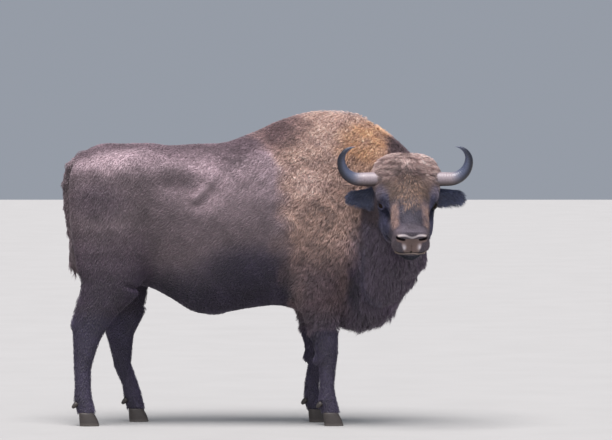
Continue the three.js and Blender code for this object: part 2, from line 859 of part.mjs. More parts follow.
const TRUNK_CELL = [112, 84, 82];
const trunkNet = toSolid(netOf(bodyField, [-1240, -462, 366], [860, 462, 1820], TRUNK_CELL));
let trunk = below(trunkNet, SHOULDER_LINE).subtract(earSpaces[0]);
for (const kind of ["fore", "hind"])
  for (const s of [RIGHT, LEFT]) trunk = trunk.subtract(legSpace(kind, s, GAP / 2));
place("forequarters", above(trunk, LAST_RIB), "tawny");
place("barrel", above(below(trunk, LAST_RIB), LOIN), "dark");
place("hindquarters", below(trunk, LOIN), "dark");

// ---------------------------------------------------------------- tail

const TAIL_TUFT = plane([0, 0, 1090], [0, 0, 1]);
const rump = trunkNet.translate([-OFFSET_GAP, 0, OFFSET_GAP / 2]);
const tailNet = toSolid(netOf(tailField, [-1200, -90, 740], [-960, 90, 1620], [30, 30, 56]));
const tail = tailNet.subtract(rump);
place("tail", above(tail, TAIL_TUFT), "dark");
place("tail_tuft", below(tail, TAIL_TUFT), "black");

// ---------------------------------------------------------------- legs

const LEG_CELL = [48, 41, 80];
const FEET = {
  foreleg_right: { kind: "fore", s: RIGHT, top: 450, fetlockX: 333, track: FORE_TRACK },
  foreleg_left: { kind: "fore", s: LEFT, top: 450, fetlockX: 250, track: FORE_TRACK },
  hindleg_right: { kind: "hind", s: RIGHT, top: 590, fetlockX: -1014, track: HIND_TRACK },
  hindleg_left: { kind: "hind", s: LEFT, top: 590, fetlockX: -752, track: HIND_TRACK },
};

for (const [name, { kind, s, top, fetlockX, track }] of Object.entries(FEET)) {
  const [low, high] = s > 0 ? [0, 430] : [-430, 0];
  const x = LEG_SPACE[kind].x;
  const net = toSolid(netOf(bodyField, [x[0], low, -40], [x[1], high, 960], LEG_CELL));
  const leg = net.intersect(legSpace(kind, s, -GAP / 2));
  const joint = plane([0, 0, top], [0, 0, 1]);
  const fetlock = plane([0, 0, FETLOCK], [0, 0, 1]);
  const coronet = plane([0, 0, CORONET], [0, 0, 1]);
  place(`${name}_upper`, above(leg, joint), "dark");
  place(`${name}_lower`, above(below(leg, joint), fetlock), "dark");

  let pastern = above(below(leg, fetlock), coronet);
  for (const [toe, t] of [
    ["inner", -1],
    ["outer", 1],
  ]) {
    const y = (track + t * 27) * s;
    place(`${name}_claw_${toe}`, toSolid(clawGeometry(fetlockX + 28, y, s, -t)), "claw");
    const dewclaw = [fetlockX - 40, (track + t * 24) * s, 118];
    place(`${name}_dewclaw_${toe}`, toSolid(dewclawGeometry(dewclaw)), "claw");
    pastern = pastern.subtract(toSolid(dewclawGeometry(dewclaw, OFFSET_GAP)));
  }
  place(`${name}_pastern`, pastern, "dark");
}

// The origin is on the floor, under the middle of the animal's outline.
const outline = new THREE.Box3().setFromObject(wisent);
const middle = outline.getCenter(new THREE.Vector3());
wisent.position.set(-middle.x, -middle.y, -outline.min.z);

export default wisent;
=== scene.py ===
"""A young wisent bull (European bison) as a life-size museum figure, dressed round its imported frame.

The skin follows the same measured form as the solids, the coat's depth further in. Only the hip
bone, the sheath and the blends inside a limb are smaller here. Horns, eyes and hooves are separate
lofts. The coat is made of closed mesh tufts that follow the lie of the hair.

Shapes are worked out in millimetres in the animal's own frame: x runs from rump to chest, y to the
animal's left, z up. `to_row` turns them into metres in the row frame.
"""

import math

import bpy
import bmesh
import numpy as np
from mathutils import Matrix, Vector
from mathutils.kdtree import KDTree


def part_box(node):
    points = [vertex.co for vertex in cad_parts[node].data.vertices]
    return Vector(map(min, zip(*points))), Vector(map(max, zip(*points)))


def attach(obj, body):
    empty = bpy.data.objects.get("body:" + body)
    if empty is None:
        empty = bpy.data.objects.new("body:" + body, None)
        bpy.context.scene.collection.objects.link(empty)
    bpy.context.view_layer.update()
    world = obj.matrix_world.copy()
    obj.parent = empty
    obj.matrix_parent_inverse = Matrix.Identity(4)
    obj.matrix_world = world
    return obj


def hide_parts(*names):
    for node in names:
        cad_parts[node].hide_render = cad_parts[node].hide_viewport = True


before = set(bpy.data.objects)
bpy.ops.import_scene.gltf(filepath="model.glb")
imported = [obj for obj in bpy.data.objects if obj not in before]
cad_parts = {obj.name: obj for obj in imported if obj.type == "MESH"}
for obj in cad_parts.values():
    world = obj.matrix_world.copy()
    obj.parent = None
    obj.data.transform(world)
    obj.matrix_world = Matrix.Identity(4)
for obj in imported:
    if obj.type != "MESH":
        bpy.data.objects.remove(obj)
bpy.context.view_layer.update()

RIGHT, LEFT = -1, 1
SIDES = {"right": RIGHT, "left": LEFT}

# ---- driving dimensions, millimetres

# Trunk stations: x, top, bottom, half width, height of the widest level, upper and lower roundness.
TRUNK = [
    (-1035, 1500, 860, 165, 1250, 2.0, 2.0),
    (-925, 1552, 820, 222, 1270, 1.9, 2.1),
    (-780, 1556, 780, 252, 1260, 1.85, 2.1),
    (-648, 1558, 755, 265, 1240, 1.8, 2.1),
    (-537, 1546, 700, 280, 1190, 1.85, 2.1),
    (-393, 1554, 618, 305, 1120, 1.9, 2.1),
    (-238, 1562, 618, 322, 1090, 1.85, 2.1),
    (-94, 1612, 642, 328, 1080, 1.7, 2.1),
    (72, 1688, 655, 322, 1080, 1.55, 2.1),
    (238, 1736, 610, 308, 1080, 1.5, 2.0),
    (393, 1742, 560, 275, 1080, 1.5, 1.9),
    (515, 1730, 540, 222, 1090, 1.55, 1.8),
]
TRUNK_REAR_CAP = 55
TRUNK_FRONT_CAP = 120

# The head's frame: the point midway between the eyes, with a along the face towards the nose,
# b towards the animal's left and c out of the forehead.
EYES_MIDDLE = (772, -420, 1220)
HEAD_YAW = math.radians(6)
HEAD_PITCH = math.radians(36)

# Head stations: a, top, bottom, half width, level of the widest, upper and lower roundness.
SKULL = [
    (-235, 120, -70, 136, 60, 2.0, 2.0),
    (-165, 174, -150, 180, 55, 2.1, 2.0),
    (-90, 164, -185, 182, 40, 2.2, 1.9),
    (-20, 126, -196, 164, 10, 2.3, 1.8),
    (50, 92, -190, 142, -30, 2.4, 1.8),
    (120, 62, -182, 120, -50, 2.4, 1.9),
    (185, 38, -172, 104, -62, 2.4, 2.1),
    (238, 18, -146, 94, -64, 2.4, 2.2),
]
SKULL_REAR_CAP = 45
SKULL_FRONT_CAP = 24

EYE_AT = (-4, 141, 2)
EYE_RADIUS = 20

HORN_FOOT = (-130, 120, 86)
HORN_STRAIGHT = {RIGHT: 137, LEFT: 116}
HORN_HOOK = [(165, math.radians(90)), (128, math.radians(95))]
HORN_RADIUS = 40
HORN_TAPER = 2.3
HORN_LEAN = math.radians(12)

FORE_TRACK = 148
HIND_TRACK = 172
CORONET = 72
SKIN_OVER_HOOF = 3
HOOF_BLEND = 10
JOINT_BLEND = 4
THIGH_CAP = 130
THIGH_BLEND = 84
ARM_BLEND = 50

FORELEGS = {
    "right": {"elbow": 292, "knee": 332, "fetlock": 333},
    "left": {"elbow": 252, "knee": 274, "fetlock": 250},
}
HINDLEGS = {
    "right": {"stifle": -790, "gaskin": -938, "hock": -990, "cannon": -1016, "fetlock": -1014},
    "left": {"stifle": -745, "gaskin": -782, "hock": -822, "cannon": -808, "fetlock": -752},
}

# ---- small arithmetic


def lerp(a, b, t):
    return a + (b - a) * t


def ramp(value, start, end):
    """0 at start, 1 at end, smooth between them."""
    t = np.clip((value - start) / (end - start), 0, 1)
    return t * t * (3 - 2 * t)


def smooth_min(a, b, k):
    h = np.maximum(k - np.abs(a - b), 0) / k
    return np.minimum(a, b) - h * h * k / 4


def smooth_max(a, b, k):
    return -smooth_min(-a, -b, k)


def length3(x, y, z):
    return np.sqrt(x * x + y * y + z * z)


def unit(v):
    return v / np.maximum(np.linalg.norm(v, axis=-1, keepdims=True), 1e-9)


def ripple(xyz, size, seed, count=7):
    """Smooth random variation from -1 to 1, with features about `size` across."""
    random = np.random.default_rng(seed)
    total = np.zeros(len(xyz))
    for _ in range(count):
        wave = unit(random.normal(size=3)) * random.uniform(0.7, 1.5) * math.pi / size
        total += np.sin(xyz @ wave + random.uniform(0, 2 * math.pi))
    return total / math.sqrt(count) / 1.4


# ---- frames

FACE = np.array(
    [
        math.sin(HEAD_YAW) * math.cos(HEAD_PITCH),
        -math.cos(HEAD_YAW) * math.cos(HEAD_PITCH),
        -math.sin(HEAD_PITCH),
    ]
)
HEAD_LEFT = np.array([math.cos(HEAD_YAW), math.sin(HEAD_YAW), 0.0])
HEAD_AXES = np.stack([FACE, HEAD_LEFT, np.cross(FACE, HEAD_LEFT)])
HEAD_UP = (-math.sin(HEAD_PITCH), 0, math.cos(HEAD_PITCH))  # straight up, in the head's frame


def from_head(point):
    return np.array(EYES_MIDDLE) + np.asarray(point, float) @ HEAD_AXES


def into_head(points):
    return (points - np.array(EYES_MIDDLE)) @ HEAD_AXES.T


def mirrored(point, side):
    return (point[0], point[1] * side, point[2])


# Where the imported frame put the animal: its left eye says how far the origin moved.
eye_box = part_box("eye_left")
ROW_SHIFT = np.array((eye_box[0] + eye_box[1]) / 2) - from_head(EYE_AT) / 1000


def to_row(points):
    return np.asarray(points, float) / 1000 + ROW_SHIFT


# ---- places where a form is sampled


class Points:
    """Scattered points."""

    def __init__(self, xyz):
        self.xyz = xyz
        self.x, self.y, self.z = xyz.T

    def at(self, where):
        return self.xyz[where]

    def part(self, low, high):
        inside = np.nonzero(((self.xyz > low) & (self.xyz < high)).all(1))[0]
        return inside, (Points(self.xyz[inside]) if len(inside) else None)


class Grid:
    """The crossings of three lists of coordinates."""

    def __init__(self, axes):
        self.axes = axes
        self.x = axes[0][:, None, None]
        self.y = axes[1][None, :, None]
        self.z = axes[2][None, None, :]

    def at(self, where):
        return np.stack([axis[i] for axis, i in zip(self.axes, where)], axis=1)

    def part(self, low, high):
        spans = [
            slice(np.searchsorted(axis, lo), np.searchsorted(axis, hi))
            for axis, lo, hi in zip(self.axes, low, high)
        ]
        axes = [axis[span] for axis, span in zip(self.axes, spans)]
        return tuple(spans), (Grid(axes) if all(len(axis) for axis in axes) else None)


# ---- forms


class Form:
    """A distance function and the box that holds the form."""

    def __init__(self, distance, low, high):
        self.distance = distance
        self.low = np.array(low, float)
        self.high = np.array(high, float)


def ray_distance(radius, q):
    """Distance along the ray from the middle of a section: q is 1 on its surface."""
    return radius * (1 - 1 / np.maximum(q, 0.05))


def station_curve(table, column):
    xs = np.array([row[0] for row in table], float)
    ys = np.array([row[column] for row in table], float)
    before = np.maximum(np.arange(len(xs)) - 1, 0)
    after = np.minimum(np.arange(len(xs)) + 1, len(xs) - 1)
    slope = (ys[after] - ys[before]) / (xs[after] - xs[before])

    def curve(x):
        i = np.clip(np.searchsorted(xs, x, side="left") - 1, 0, len(xs) - 2)
        span = xs[i + 1] - xs[i]
        t = np.clip((x - xs[i]) / span, 0, 1)
        t2, t3 = t * t, t * t * t
        return (
            (2 * t3 - 3 * t2 + 1) * ys[i]
            + (t3 - 2 * t2 + t) * span * slope[i]
            + (3 * t2 - 2 * t3) * ys[i + 1]
            + (t3 - t2) * span * slope[i + 1]
        )

    return curve


def stations(table, rear_cap, front_cap):
    """A body that follows a station table along its first axis."""
    top, bottom, width, widest, upper, lower = [station_curve(table, c) for c in range(1, 7)]
    start, end = table[0][0], table[-1][0]
    wide = max(row[3] for row in table) + 10

    def distance(place):
        at = np.clip(place.x, start, end)
        level = widest(at)
        dz = place.z - level
        above = dz > 0
        half = np.where(above, top(at) - level, level - bottom(at))
        n = np.where(above, upper(at), lower(at))
        ring = (np.abs(place.y) / width(at)) ** n + (np.abs(dz) / half) ** n
        over = place.x - at
        q = np.sqrt(ring ** (2 / n) + (over / np.where(over > 0, front_cap, rear_cap)) ** 2)
        return ray_distance(length3(place.y, dz, over), q)

    return Form(
        distance,
        (start - rear_cap, -wide, min(row[2] for row in table) - 10),
        (end + front_cap, wide, max(row[1] for row in table) + 10),
    )


def bar(start, end, side, rise, cap, up=(0, 0, 1)):
    """A tapered bar with elliptical sections: half sizes across and along `up` at both ends."""
    start, end = np.array(start, float), np.array(end, float)
    length = np.linalg.norm(end - start)
    along = (end - start) / length
    across = unit(np.cross(up, along))
    high = np.cross(along, across)

    def distance(place):
        dx, dy, dz = place.x - start[0], place.y - start[1], place.z - start[2]
        s = dx * along[0] + dy * along[1] + dz * along[2]
        v = dx * across[0] + dy * across[1] + dz * across[2]
        w = dx * high[0] + dy * high[1] + dz * high[2]
        t = np.clip(s / length, 0, 1)
        over = s - t * length
        q = length3(v / lerp(side[0], side[1], t), w / lerp(rise[0], rise[1], t), over / cap)
        return ray_distance(length3(v, w, over), q)

    reach = max(*side, *rise, cap)
    return Form(distance, np.minimum(start, end) - reach, np.maximum(start, end) + reach)


def egg(at, radii, pitch=0):
    """An ellipsoid, leaned by `pitch` degrees about y: positive tips its front end down."""
    c, s = math.cos(math.radians(pitch)), math.sin(math.radians(pitch))

    def distance(place):
        dx, v, dz = place.x - at[0], place.y - at[1], place.z - at[2]
        u, w = dx * c - dz * s, dx * s + dz * c
        q = length3(u / radii[0], v / radii[1], w / radii[2])
        return ray_distance(length3(u, v, w), q)

    reach = np.array([max(radii[0], radii[2]), radii[1], max(radii[0], radii[2])])
    return Form(distance, np.array(at) - reach, np.array(at) + reach)


def blended(base, parts):
    """Adds or hollows forms one after another, each blended in over its own width."""

    def distance(place):
        d = base.distance(place)
        for form, blend, cut in parts:
            where, inner = place.part(form.low - blend, form.high + blend)
            if inner is None:
                continue
            e = form.distance(inner)
            d[where] = smooth_max(d[where], -e, blend) if cut else smooth_min(d[where], e, blend)
        return d

    solids = [base] + [form for form, _, cut in parts if not cut]
    return Form(
        distance,
        np.min([form.low for form in solids], axis=0),
        np.max([form.high for form in solids], axis=0),
    )


def add(form, blend):
    return (form, blend, False)


def hollow(form, blend):
    return (form, blend, True)


def in_head_frame(form, margin):
    """The same form placed by the head's frame."""
    corners = np.array([[x, y, z] for x in (0, 1) for y in (0, 1) for z in (0, 1)])
    box = from_head(lerp(form.low - margin, form.high + margin, corners))

    def distance(place):
        xyz = np.stack(np.broadcast_arrays(place.x, place.y, place.z), axis=-1)
        return form.distance(Points(into_head(xyz.reshape(-1, 3)))).reshape(xyz.shape[:-1])

    return Form(distance, box.min(0), box.max(0))


# ---- the head

HEAD_FORMS = [add(egg((-205, 0, 118), (82, 172, 78), -30), 56)]  # crown wool
for s in SIDES.values():
    HEAD_FORMS += [
        add(egg((-160, 130 * s, 92), (62, 60, 54)), 40),  # wool over the horn's foot
        add(egg((-30, 118 * s, 52), (52, 42, 34)), 30),  # brow
        add(egg((30, 92 * s, -118), (100, 48, 78)), 40),  # cheek
        add(egg((228, 50 * s, -96), (46, 52, 48)), 30),  # upper lip
        add(egg((220, 50 * s, -20), (38, 38, 34)), 20),  # nostril wing
        hollow(egg((60, 122 * s, -14), (72, 26, 26)), 30),  # below the eye
    ]
HEAD_FORMS += [
    add(egg((206, 0, -158), (52, 56, 34)), 24),  # chin
    add(bar((20, 0, -150), (170, 0, -150), (62, 46), (70, 40), 40), 50),  # throat
]
EAR_BARS = [
    bar((-104, 150 * s, -24), (-106, 278 * s, -22), (26, 19), (60, 43), 50, HEAD_UP)
    for s in SIDES.values()
]
EAR_HOLLOWS = [
    bar((-78, 204 * s, -22), (-84, 262 * s, -22), (15, 11), (28, 22), 24, HEAD_UP)
    for s in SIDES.values()
]
HEAD_FORMS += [
    add(blended(ear, [hollow(dish, 14)]), 16) for ear, dish in zip(EAR_BARS, EAR_HOLLOWS)
]
plain_head = blended(stations(SKULL, SKULL_REAR_CAP, SKULL_FRONT_CAP), HEAD_FORMS)

# The eye's own frame: w looks out of the head, u runs towards the nose, v towards the jaw.
EYE_OUT = unit(np.array([0.62, 0.76, 0.2]))
EYE_DOWN = unit(np.cross(EYE_OUT, np.array([1, -0.35, -0.25])))
EYE_AHEAD = np.cross(EYE_DOWN, EYE_OUT)
ORBIT = {"out": 24, "radii": (40, 25, 20), "blend": 16}
LID = {"thickness": 3.4, "blend": 9}
LID_OPENING = {"half_length": 19, "half_height": 12.5, "above": 1.5, "floor": 3, "reach": 40, "blend": 4}
LID_FOLD = {"radius": 30.5, "half_width": 1.6, "depth": 5, "below": 9, "blend": 4}
NOSTRIL = {"inner": (250, 44, -31), "outer": (236, 74, -29), "depth": 26, "half_heights": (7, 9)}
NOSTRIL_CAP = 9
NOSTRIL_BLEND = 7
MOUTH = {"level": -124, "rise": 0.03, "half_width": 3.2, "depth": 12, "rear": 96, "blend": 6}
CLEFT = {"level": -92, "reach": 30, "half_width": 2, "depth": 4, "rear": 200, "blend": 5}
RIM_WIDTH = 5.0
RIM_HEIGHT = 4.0
LOBE_HEIGHT = 3.0
DIP_DEPTH = 5.0


def rim_level(b):
    """The level of the raised rim over the nostrils: an arch over each, a dip between them."""
    return lerp(-17.0, -4.0, ramp(np.abs(b), 0, 42)) - 8.0 * ramp(np.abs(b), 52, 82)


def eye_coordinates(a, b, c, side):
    """u, v, w from the middle of one eye."""
    da, db, dc = a - EYE_AT[0], b * side - EYE_AT[1], c - EYE_AT[2]
    return [da * axis[0] + db * axis[1] + dc * axis[2] for axis in (EYE_AHEAD, EYE_DOWN, EYE_OUT)]


def groove(d, across, half_width, depth, *limits):
    """A narrow groove under a surface at distance d, where every limit is below zero."""
    cut = np.maximum(across - half_width, -d - depth)
    for limit in limits:
        cut = np.maximum(cut, limit)
    return cut


def with_eye(d, u, v, w):
    """Sets an orbit, lids, their opening and the fold below them into the head."""
    near = length3(u, v, w)
    radii, out = ORBIT["radii"], w - ORBIT["out"]
    q = length3(u / radii[0], v / radii[1], out / radii[2])
    d = smooth_max(d, -ray_distance(length3(u, v, out), q), ORBIT["blend"])
    d = smooth_min(d, near - EYE_RADIUS - LID["thickness"], LID["blend"])
    half_height = LID_OPENING["half_height"] * (1 - (u / LID_OPENING["half_length"]) ** 2)
    opening = np.abs(v + LID_OPENING["above"]) - half_height
    opening = np.maximum(opening, LID_OPENING["floor"] - w)
    opening = np.maximum(opening, near - LID_OPENING["reach"])
    d = smooth_max(d, -opening, LID_OPENING["blend"])
    across = np.abs(near - LID_FOLD["radius"])
    fold = groove(d, across, LID_FOLD["half_width"], LID_FOLD["depth"], LID_FOLD["below"] - v)
    return smooth_max(d, -fold, LID_FOLD["blend"])


def head_distance(place):
    """The head with orbits, lids, nostrils, mouth and the folds of the skin."""
    d = plain_head.distance(place)
    a, b, c = place.x, place.y, place.z
    depth = (NOSTRIL["depth"], NOSTRIL["depth"])
    for s in SIDES.values():
        d = with_eye(d, *eye_coordinates(a, b, c, s))
        inner, outer = mirrored(NOSTRIL["inner"], s), mirrored(NOSTRIL["outer"], s)
        nostril = bar(inner, outer, depth, NOSTRIL["half_heights"], NOSTRIL_CAP)
        d = smooth_max(d, -nostril.distance(place), NOSTRIL_BLEND)
    across = np.abs(c - MOUTH["level"] - MOUTH["rise"] * a)
    lips = groove(d, across, MOUTH["half_width"], MOUTH["depth"], MOUTH["rear"] - a)
    d = smooth_max(d, -lips, MOUTH["blend"])
    along = np.abs(c - CLEFT["level"]) - CLEFT["reach"]
    cleft = groove(d, np.abs(b), CLEFT["half_width"], CLEFT["depth"], along, CLEFT["rear"] - a)
    d = smooth_max(d, -cleft, CLEFT["blend"])
    front = ramp(a, 205, 232)
    rim = np.exp(-(((c - rim_level(b)) / RIM_WIDTH) ** 2)) * (1 - ramp(np.abs(b), 66, 84))
    dip = np.exp(-((b / 24) ** 2) - ((a - 226) / 16) ** 2) * ramp(c, -14, 4)
    lobe = np.exp(-(((np.abs(b) - 46) / 20) ** 2) - ((c + 66) / 16) ** 2)
    return d - front * (RIM_HEIGHT * rim + LOBE_HEIGHT * lobe) + DIP_DEPTH * dip


head_form = in_head_frame(Form(head_distance, plain_head.low, plain_head.high), 0)

# ---- neck, limbs, tail and trunk

neck_form = blended(
    bar((430, 0, 1130), (690, -180, 1180), (222, 160), (560, 385), 90),
    [
        add(bar((600, -80, 1230), (740, -270, 1240), (170, 140), (350, 240), 70), 90),
        add(bar((520, -10, 1490), (700, -140, 1392), (140, 120), (205, 156), 70), 90),  # crest
        add(bar((600, -40, 700), (770, -260, 960), (130, 100), (120, 120), 80), 110),  # mane
        add(bar((770, -270, 960), (795, -410, 1010), (85, 62), (105, 80), 60), 70),  # beard
        add(egg((500, 0, 640), (190, 120, 105)), 90),  # brisket
    ],
)


def limb(joints, blend, cap=40, first_cap=None):
    """A chain of bars between joints: place, half size across, half size along x."""
    caps = [first_cap or cap] + [cap] * (len(joints) - 2)
    bars = [
        bar(before[0], joint[0], (before[1], joint[1]), (before[2], joint[2]), end, (1, 0, 0))
        for before, joint, end in zip(joints, joints[1:], caps)
    ]
    return blended(bars[0], [add(form, blend) for form in bars[1:]])


def foreleg(s, elbow, knee, fetlock):
    track = FORE_TRACK * s
    chain = limb(
        [
            ((elbow - 10, 175 * s, 800), 100, 150),
            ((elbow + 12, 168 * s, 640), 82, 112),
            ((lerp(elbow, knee, 0.7), 158 * s, 500), 58, 76),
            ((knee, track, 405), 52, 62),
            ((knee + 2, track, 330), 42, 50),
            ((fetlock - 2, track, 215), 37, 42),
            ((fetlock, track, 150), 42, 50),
            ((fetlock + 22, track, 62), 46, 52),
        ],
        JOINT_BLEND,
    )
    return blended(
        chain,
        [
            add(egg((knee - 44, track, 372), (30, 26, 40), 20), 22),  # knee tuft
            add(egg((elbow - 62, 196 * s, 700), (70, 46, 62)), 60),  # elbow
        ],
    )


def hindleg(s, stifle, gaskin, hock, cannon, fetlock):
    track = HIND_TRACK * s
    chain = limb(
        [
            ((-862, 118 * s, 1240), 104, 205),
            ((-856, 148 * s, 1080), 108, 214),
            ((stifle - 60, 160 * s, 960), 104, 212),
            ((stifle - 66, 167 * s, 870), 97, 195),
            ((stifle - 70, 169 * s, 800), 88, 172),
            ((gaskin, 172 * s, 650), 66, 112),
            ((hock, track, 510), 52, 84),
            ((lerp(hock, cannon, 0.6), track, 410), 46, 64),
            ((cannon, track, 320), 40, 50),
            ((lerp(cannon, fetlock, 0.75), track, 215), 38, 46),
            ((fetlock, track, 150), 43, 52),
            ((fetlock + 22, track, 62), 46, 52),
        ],
        JOINT_BLEND,
        first_cap=THIGH_CAP,
    )
    tendon = bar(
        (hock - 66, track, 552), (gaskin - 84, 172 * s, 690), (26, 20), (30, 24), 22, (1, 0, 0)
    )
    return blended(chain, [add(tendon, 30)])


leg_forms = [add(foreleg(SIDES[name], **at), ARM_BLEND) for name, at in FORELEGS.items()]
leg_forms += [add(hindleg(SIDES[name], **at), THIGH_BLEND) for name, at in HINDLEGS.items()]

TAIL_LINE = [
    ((-1010, 0, 1486), 46, 38),
    ((-1084, 0, 1424), 38, 33),
    ((-1110, 0, 1330), 32, 28),
    ((-1104, 0, 1200), 28, 25),
    ((-1082, 0, 1070), 33, 29),
    ((-1066, 0, 920), 38, 33),
    ((-1058, 0, 800), 16, 14),
]
tail_form = limb(TAIL_LINE, 16, 24)

TRUNK_FORMS = []
for s in SIDES.values():
    blade = bar((320, 126 * s, 1440), (380, 203 * s, 1000), (88, 108), (180, 160), 110, (1, 0, 0))
    arm = bar((385, 203 * s, 960), (240, 195 * s, 770), (105, 95), (150, 120), 90, (1, 0, 0))
    TRUNK_FORMS += [
        add(blade, 90),
        add(arm, 80),
        add(egg((-505, 203 * s, 1404), (84, 40, 56), 20), 70),  # hip bone
        add(egg((-720, 140 * s, 1388), (250, 92, 100)), 90),  # croup muscle
        add(egg((-1020, 96 * s, 1330), (66, 66, 120)), 50),  # pin bone and buttock
        hollow(egg((-385, 336 * s, 1318), (110, 62, 76), 20), 80),  # flank hollow
        add(bar((-205, 168 * s, 1465), (-372, 262 * s, 1270), (24, 24), (24, 24), 40), 44),
    ]
TRUNK_FORMS.append(add(egg((-290, 0, 634), (62, 34, 24)), 30))  # sheath
trunk_form = blended(stations(TRUNK, TRUNK_REAR_CAP, TRUNK_FRONT_CAP), TRUNK_FORMS)

body_form = blended(
    trunk_form,
    [add(neck_form, 70), add(head_form, 60)] + leg_forms + [add(tail_form, 16)],
)

# ---- regions of the coat


def ear_distance(head):
    """How far points given in the head's frame are from the nearer ear, up to a limit."""
    place = Points(head)
    nearest = np.full(len(head), 80.0)
    for ear in EAR_BARS:
        where, inner = place.part(ear.low - 60, ear.high + 60)
        if inner is not None:
            nearest[where] = np.minimum(nearest[where], ear.distance(inner))
    return nearest


back_line = station_curve(TRUNK, 1)


class Regions:
    """How far each point belongs to each region of the coat, from 0 to 1."""

    def __init__(self, xyz):
        self.x, self.y, self.z = xyz.T
        head = into_head(xyz)
        a, b, c = head.T
        self.a, self.b, self.c = a, b, c
        wide = np.abs(b)
        # The head ends at a plane through the nape, leaned 2 to 1.
        from_nape = 0.894 * (a + 158) + 0.447 * (c + 25)
        beside = ramp(self.x, 500, 560) * ramp(-self.y, 60, 160)
        self.ear = (1 - ramp(ear_distance(head), 6, 16)) * ramp(wide, 168, 190)
        self.head = np.maximum(ramp(from_nape, -40, 20) * beside, self.ear)
        skull = self.head * (1 - self.ear)
        self.crown = skull * ramp(-a, 20, 110) * ramp(c, 20, 80)
        self.forehead = skull * ramp(-a, -60, 40) * ramp(c, 30, 80) * (1 - self.crown)
        self.beard = skull * ramp(-c, 130, 175) * (1 - ramp(a, 150, 200))
        self.muzzle = skull * ramp(a, 170, 215)
        # Straw-coloured wisps between the eyes, with a ragged edge.
        ragged = 60 + 26 * ripple(xyz * np.array([1.0, 1.0, 0.4]), 22, 32, 4)
        ragged += 34 * ramp(-wide, -62, -22)
        between_eyes = ramp(-wide, -96, -46) * ramp(ragged - np.abs(a), -34, 24)
        self.wisps = skull * ramp(c, -10, 30) * between_eyes
        # The bare pad: between the nostrils, in a band round them and on the rim over them.
        pad = ramp(46 - wide + 0.3 * (c + 92), -8, 8) * ramp(c, -128, -118) * ramp(-c, 28, 40)
        around = ramp(-c, 18, 28) * ramp(c, -54, -44) * (1 - ramp(wide, 76, 90))
        rim = ramp(-np.abs(c - rim_level(b)), -9, -4) * (1 - ramp(wide, 74, 86))
        self.rim = rim * skull * ramp(a, 214, 228)
        self.pad = np.maximum(pad, around) * skull * ramp(a, 226, 240)
        self.pad = np.maximum(self.pad, self.rim)
        # The mantle's rear edge: it leans back towards the hump, and wavers.
        edge = lerp(150, 95, ramp(self.z, 700, 1100)) - 190 * ramp(self.z, 1400, 1690)
        edge += 34 * ripple(xyz, 70, 31, 4)
        self.mantle = ramp(self.x, edge - 75, edge + 75) * (1 - self.head)
        fore = ramp(self.x, 60, 100)
        foot = ramp(-self.z, -560, -500) * fore + ramp(-self.z, -660, -560) * (1 - fore)
        chest = ramp(self.x, 430, 480)
        self.leg = foot * (1 - chest)
        self.mantle = self.mantle * (1 - self.leg)
        self.throat = self.mantle * ramp(self.x, 410, 520) * ramp(-self.z, -1190, -960)
        self.hump = self.mantle * ramp(self.z, 1430, 1570) * ramp(-self.x, -480, -240)
        near_tail = np.abs(self.y) < 60
        self.tail = near_tail * ramp(-self.x, 1020, 1050) * ramp(-self.z, -1470, -1440)
        self.tail_tuft = self.tail * ramp(-self.z, -1110, -1010)
        eyes = [length3(*eye_coordinates(a, b, c, s)) for s in SIDES.values()]
        self.skin_only = skull * (1 - ramp(np.minimum(*eyes), 25, 30))

    def pick(self, base, **values):
        """A quantity over the regions, each named value laid over what comes before it."""
        total = np.full(len(self.x), float(base))
        for name, value in values.items():
            total = lerp(total, value, getattr(self, name))
        return total


# What each coat is like: a base, then regions laid over it in turn. Millimetres, but `wander` and
# `clump` are shares.
COAT = {
    "depth": (9, dict(mantle=25, hump=15, throat=36, leg=6, head=7, crown=15, forehead=11, beard=20,
                      muzzle=3, pad=0.6, ear=4.5, tail=9, tail_tuft=21, skin_only=0.3)),
    "spacing": (7.2, dict(mantle=5.0, throat=6.4, leg=6.2, head=4.6, crown=4.3, forehead=4.4,
                          beard=5.8, muzzle=4.2, ear=4.2, tail=5.6, tail_tuft=4.8)),
    "length": (21, dict(mantle=29, hump=22, throat=56, leg=17, head=15, crown=32, forehead=24,
                        wisps=27, beard=50, muzzle=7, ear=27, tail=26, tail_tuft=84)),
    "width": (3.4, dict(mantle=2.7, throat=3.6, leg=3.0, head=2.3, crown=2.1, forehead=2.0,
                        beard=3.4, muzzle=1.5, ear=2.3, tail=3.1, tail_tuft=4.0)),
    "wander": (0.16, dict(mantle=0.38, hump=0.26, throat=0.26, leg=0.14, head=0.15, crown=0.4,
                          forehead=0.34, beard=0.2, muzzle=0.2, ear=0.2, tail=0.12,
                          tail_tuft=0.12)),
    "clump": (0.12, dict(mantle=0.34, hump=0.22, throat=0.5, leg=0.1, head=0.1, crown=0.45,
                         forehead=0.4, beard=0.6, muzzle=0.0, ear=0.1, tail=0.3,
                         tail_tuft=0.35)),
}


def coat_value(r, name):
    """One of the coat's qualities at every point."""
    base, regions = COAT[name]
    return r.pick(base, **regions)


def coat_depth(xyz):
    """How far the skin lies under the outline."""
    return coat_value(Regions(xyz), "depth")


# ---- the skin


def steps(*spans):
    """Coordinates from spans of (start, end, step)."""
    pieces = [np.arange(start, end, step, dtype=float) for start, end, step in spans]
    return np.concatenate(pieces + [[float(spans[-1][1])]])


SKIN_AXES = [
    steps((-1170, 560, 14), (560, 990, 6), (990, 1100, 9)),
    steps((-690, -290, 6), (-290, 360, 12)),
    steps((50, 950, 13), (950, 1460, 6), (1460, 1790, 11)),
]
OUTSIDE = 60.0  # for grid points that no form comes near
GRID_MARGIN = 20
SETTLING_REACH = 1.5


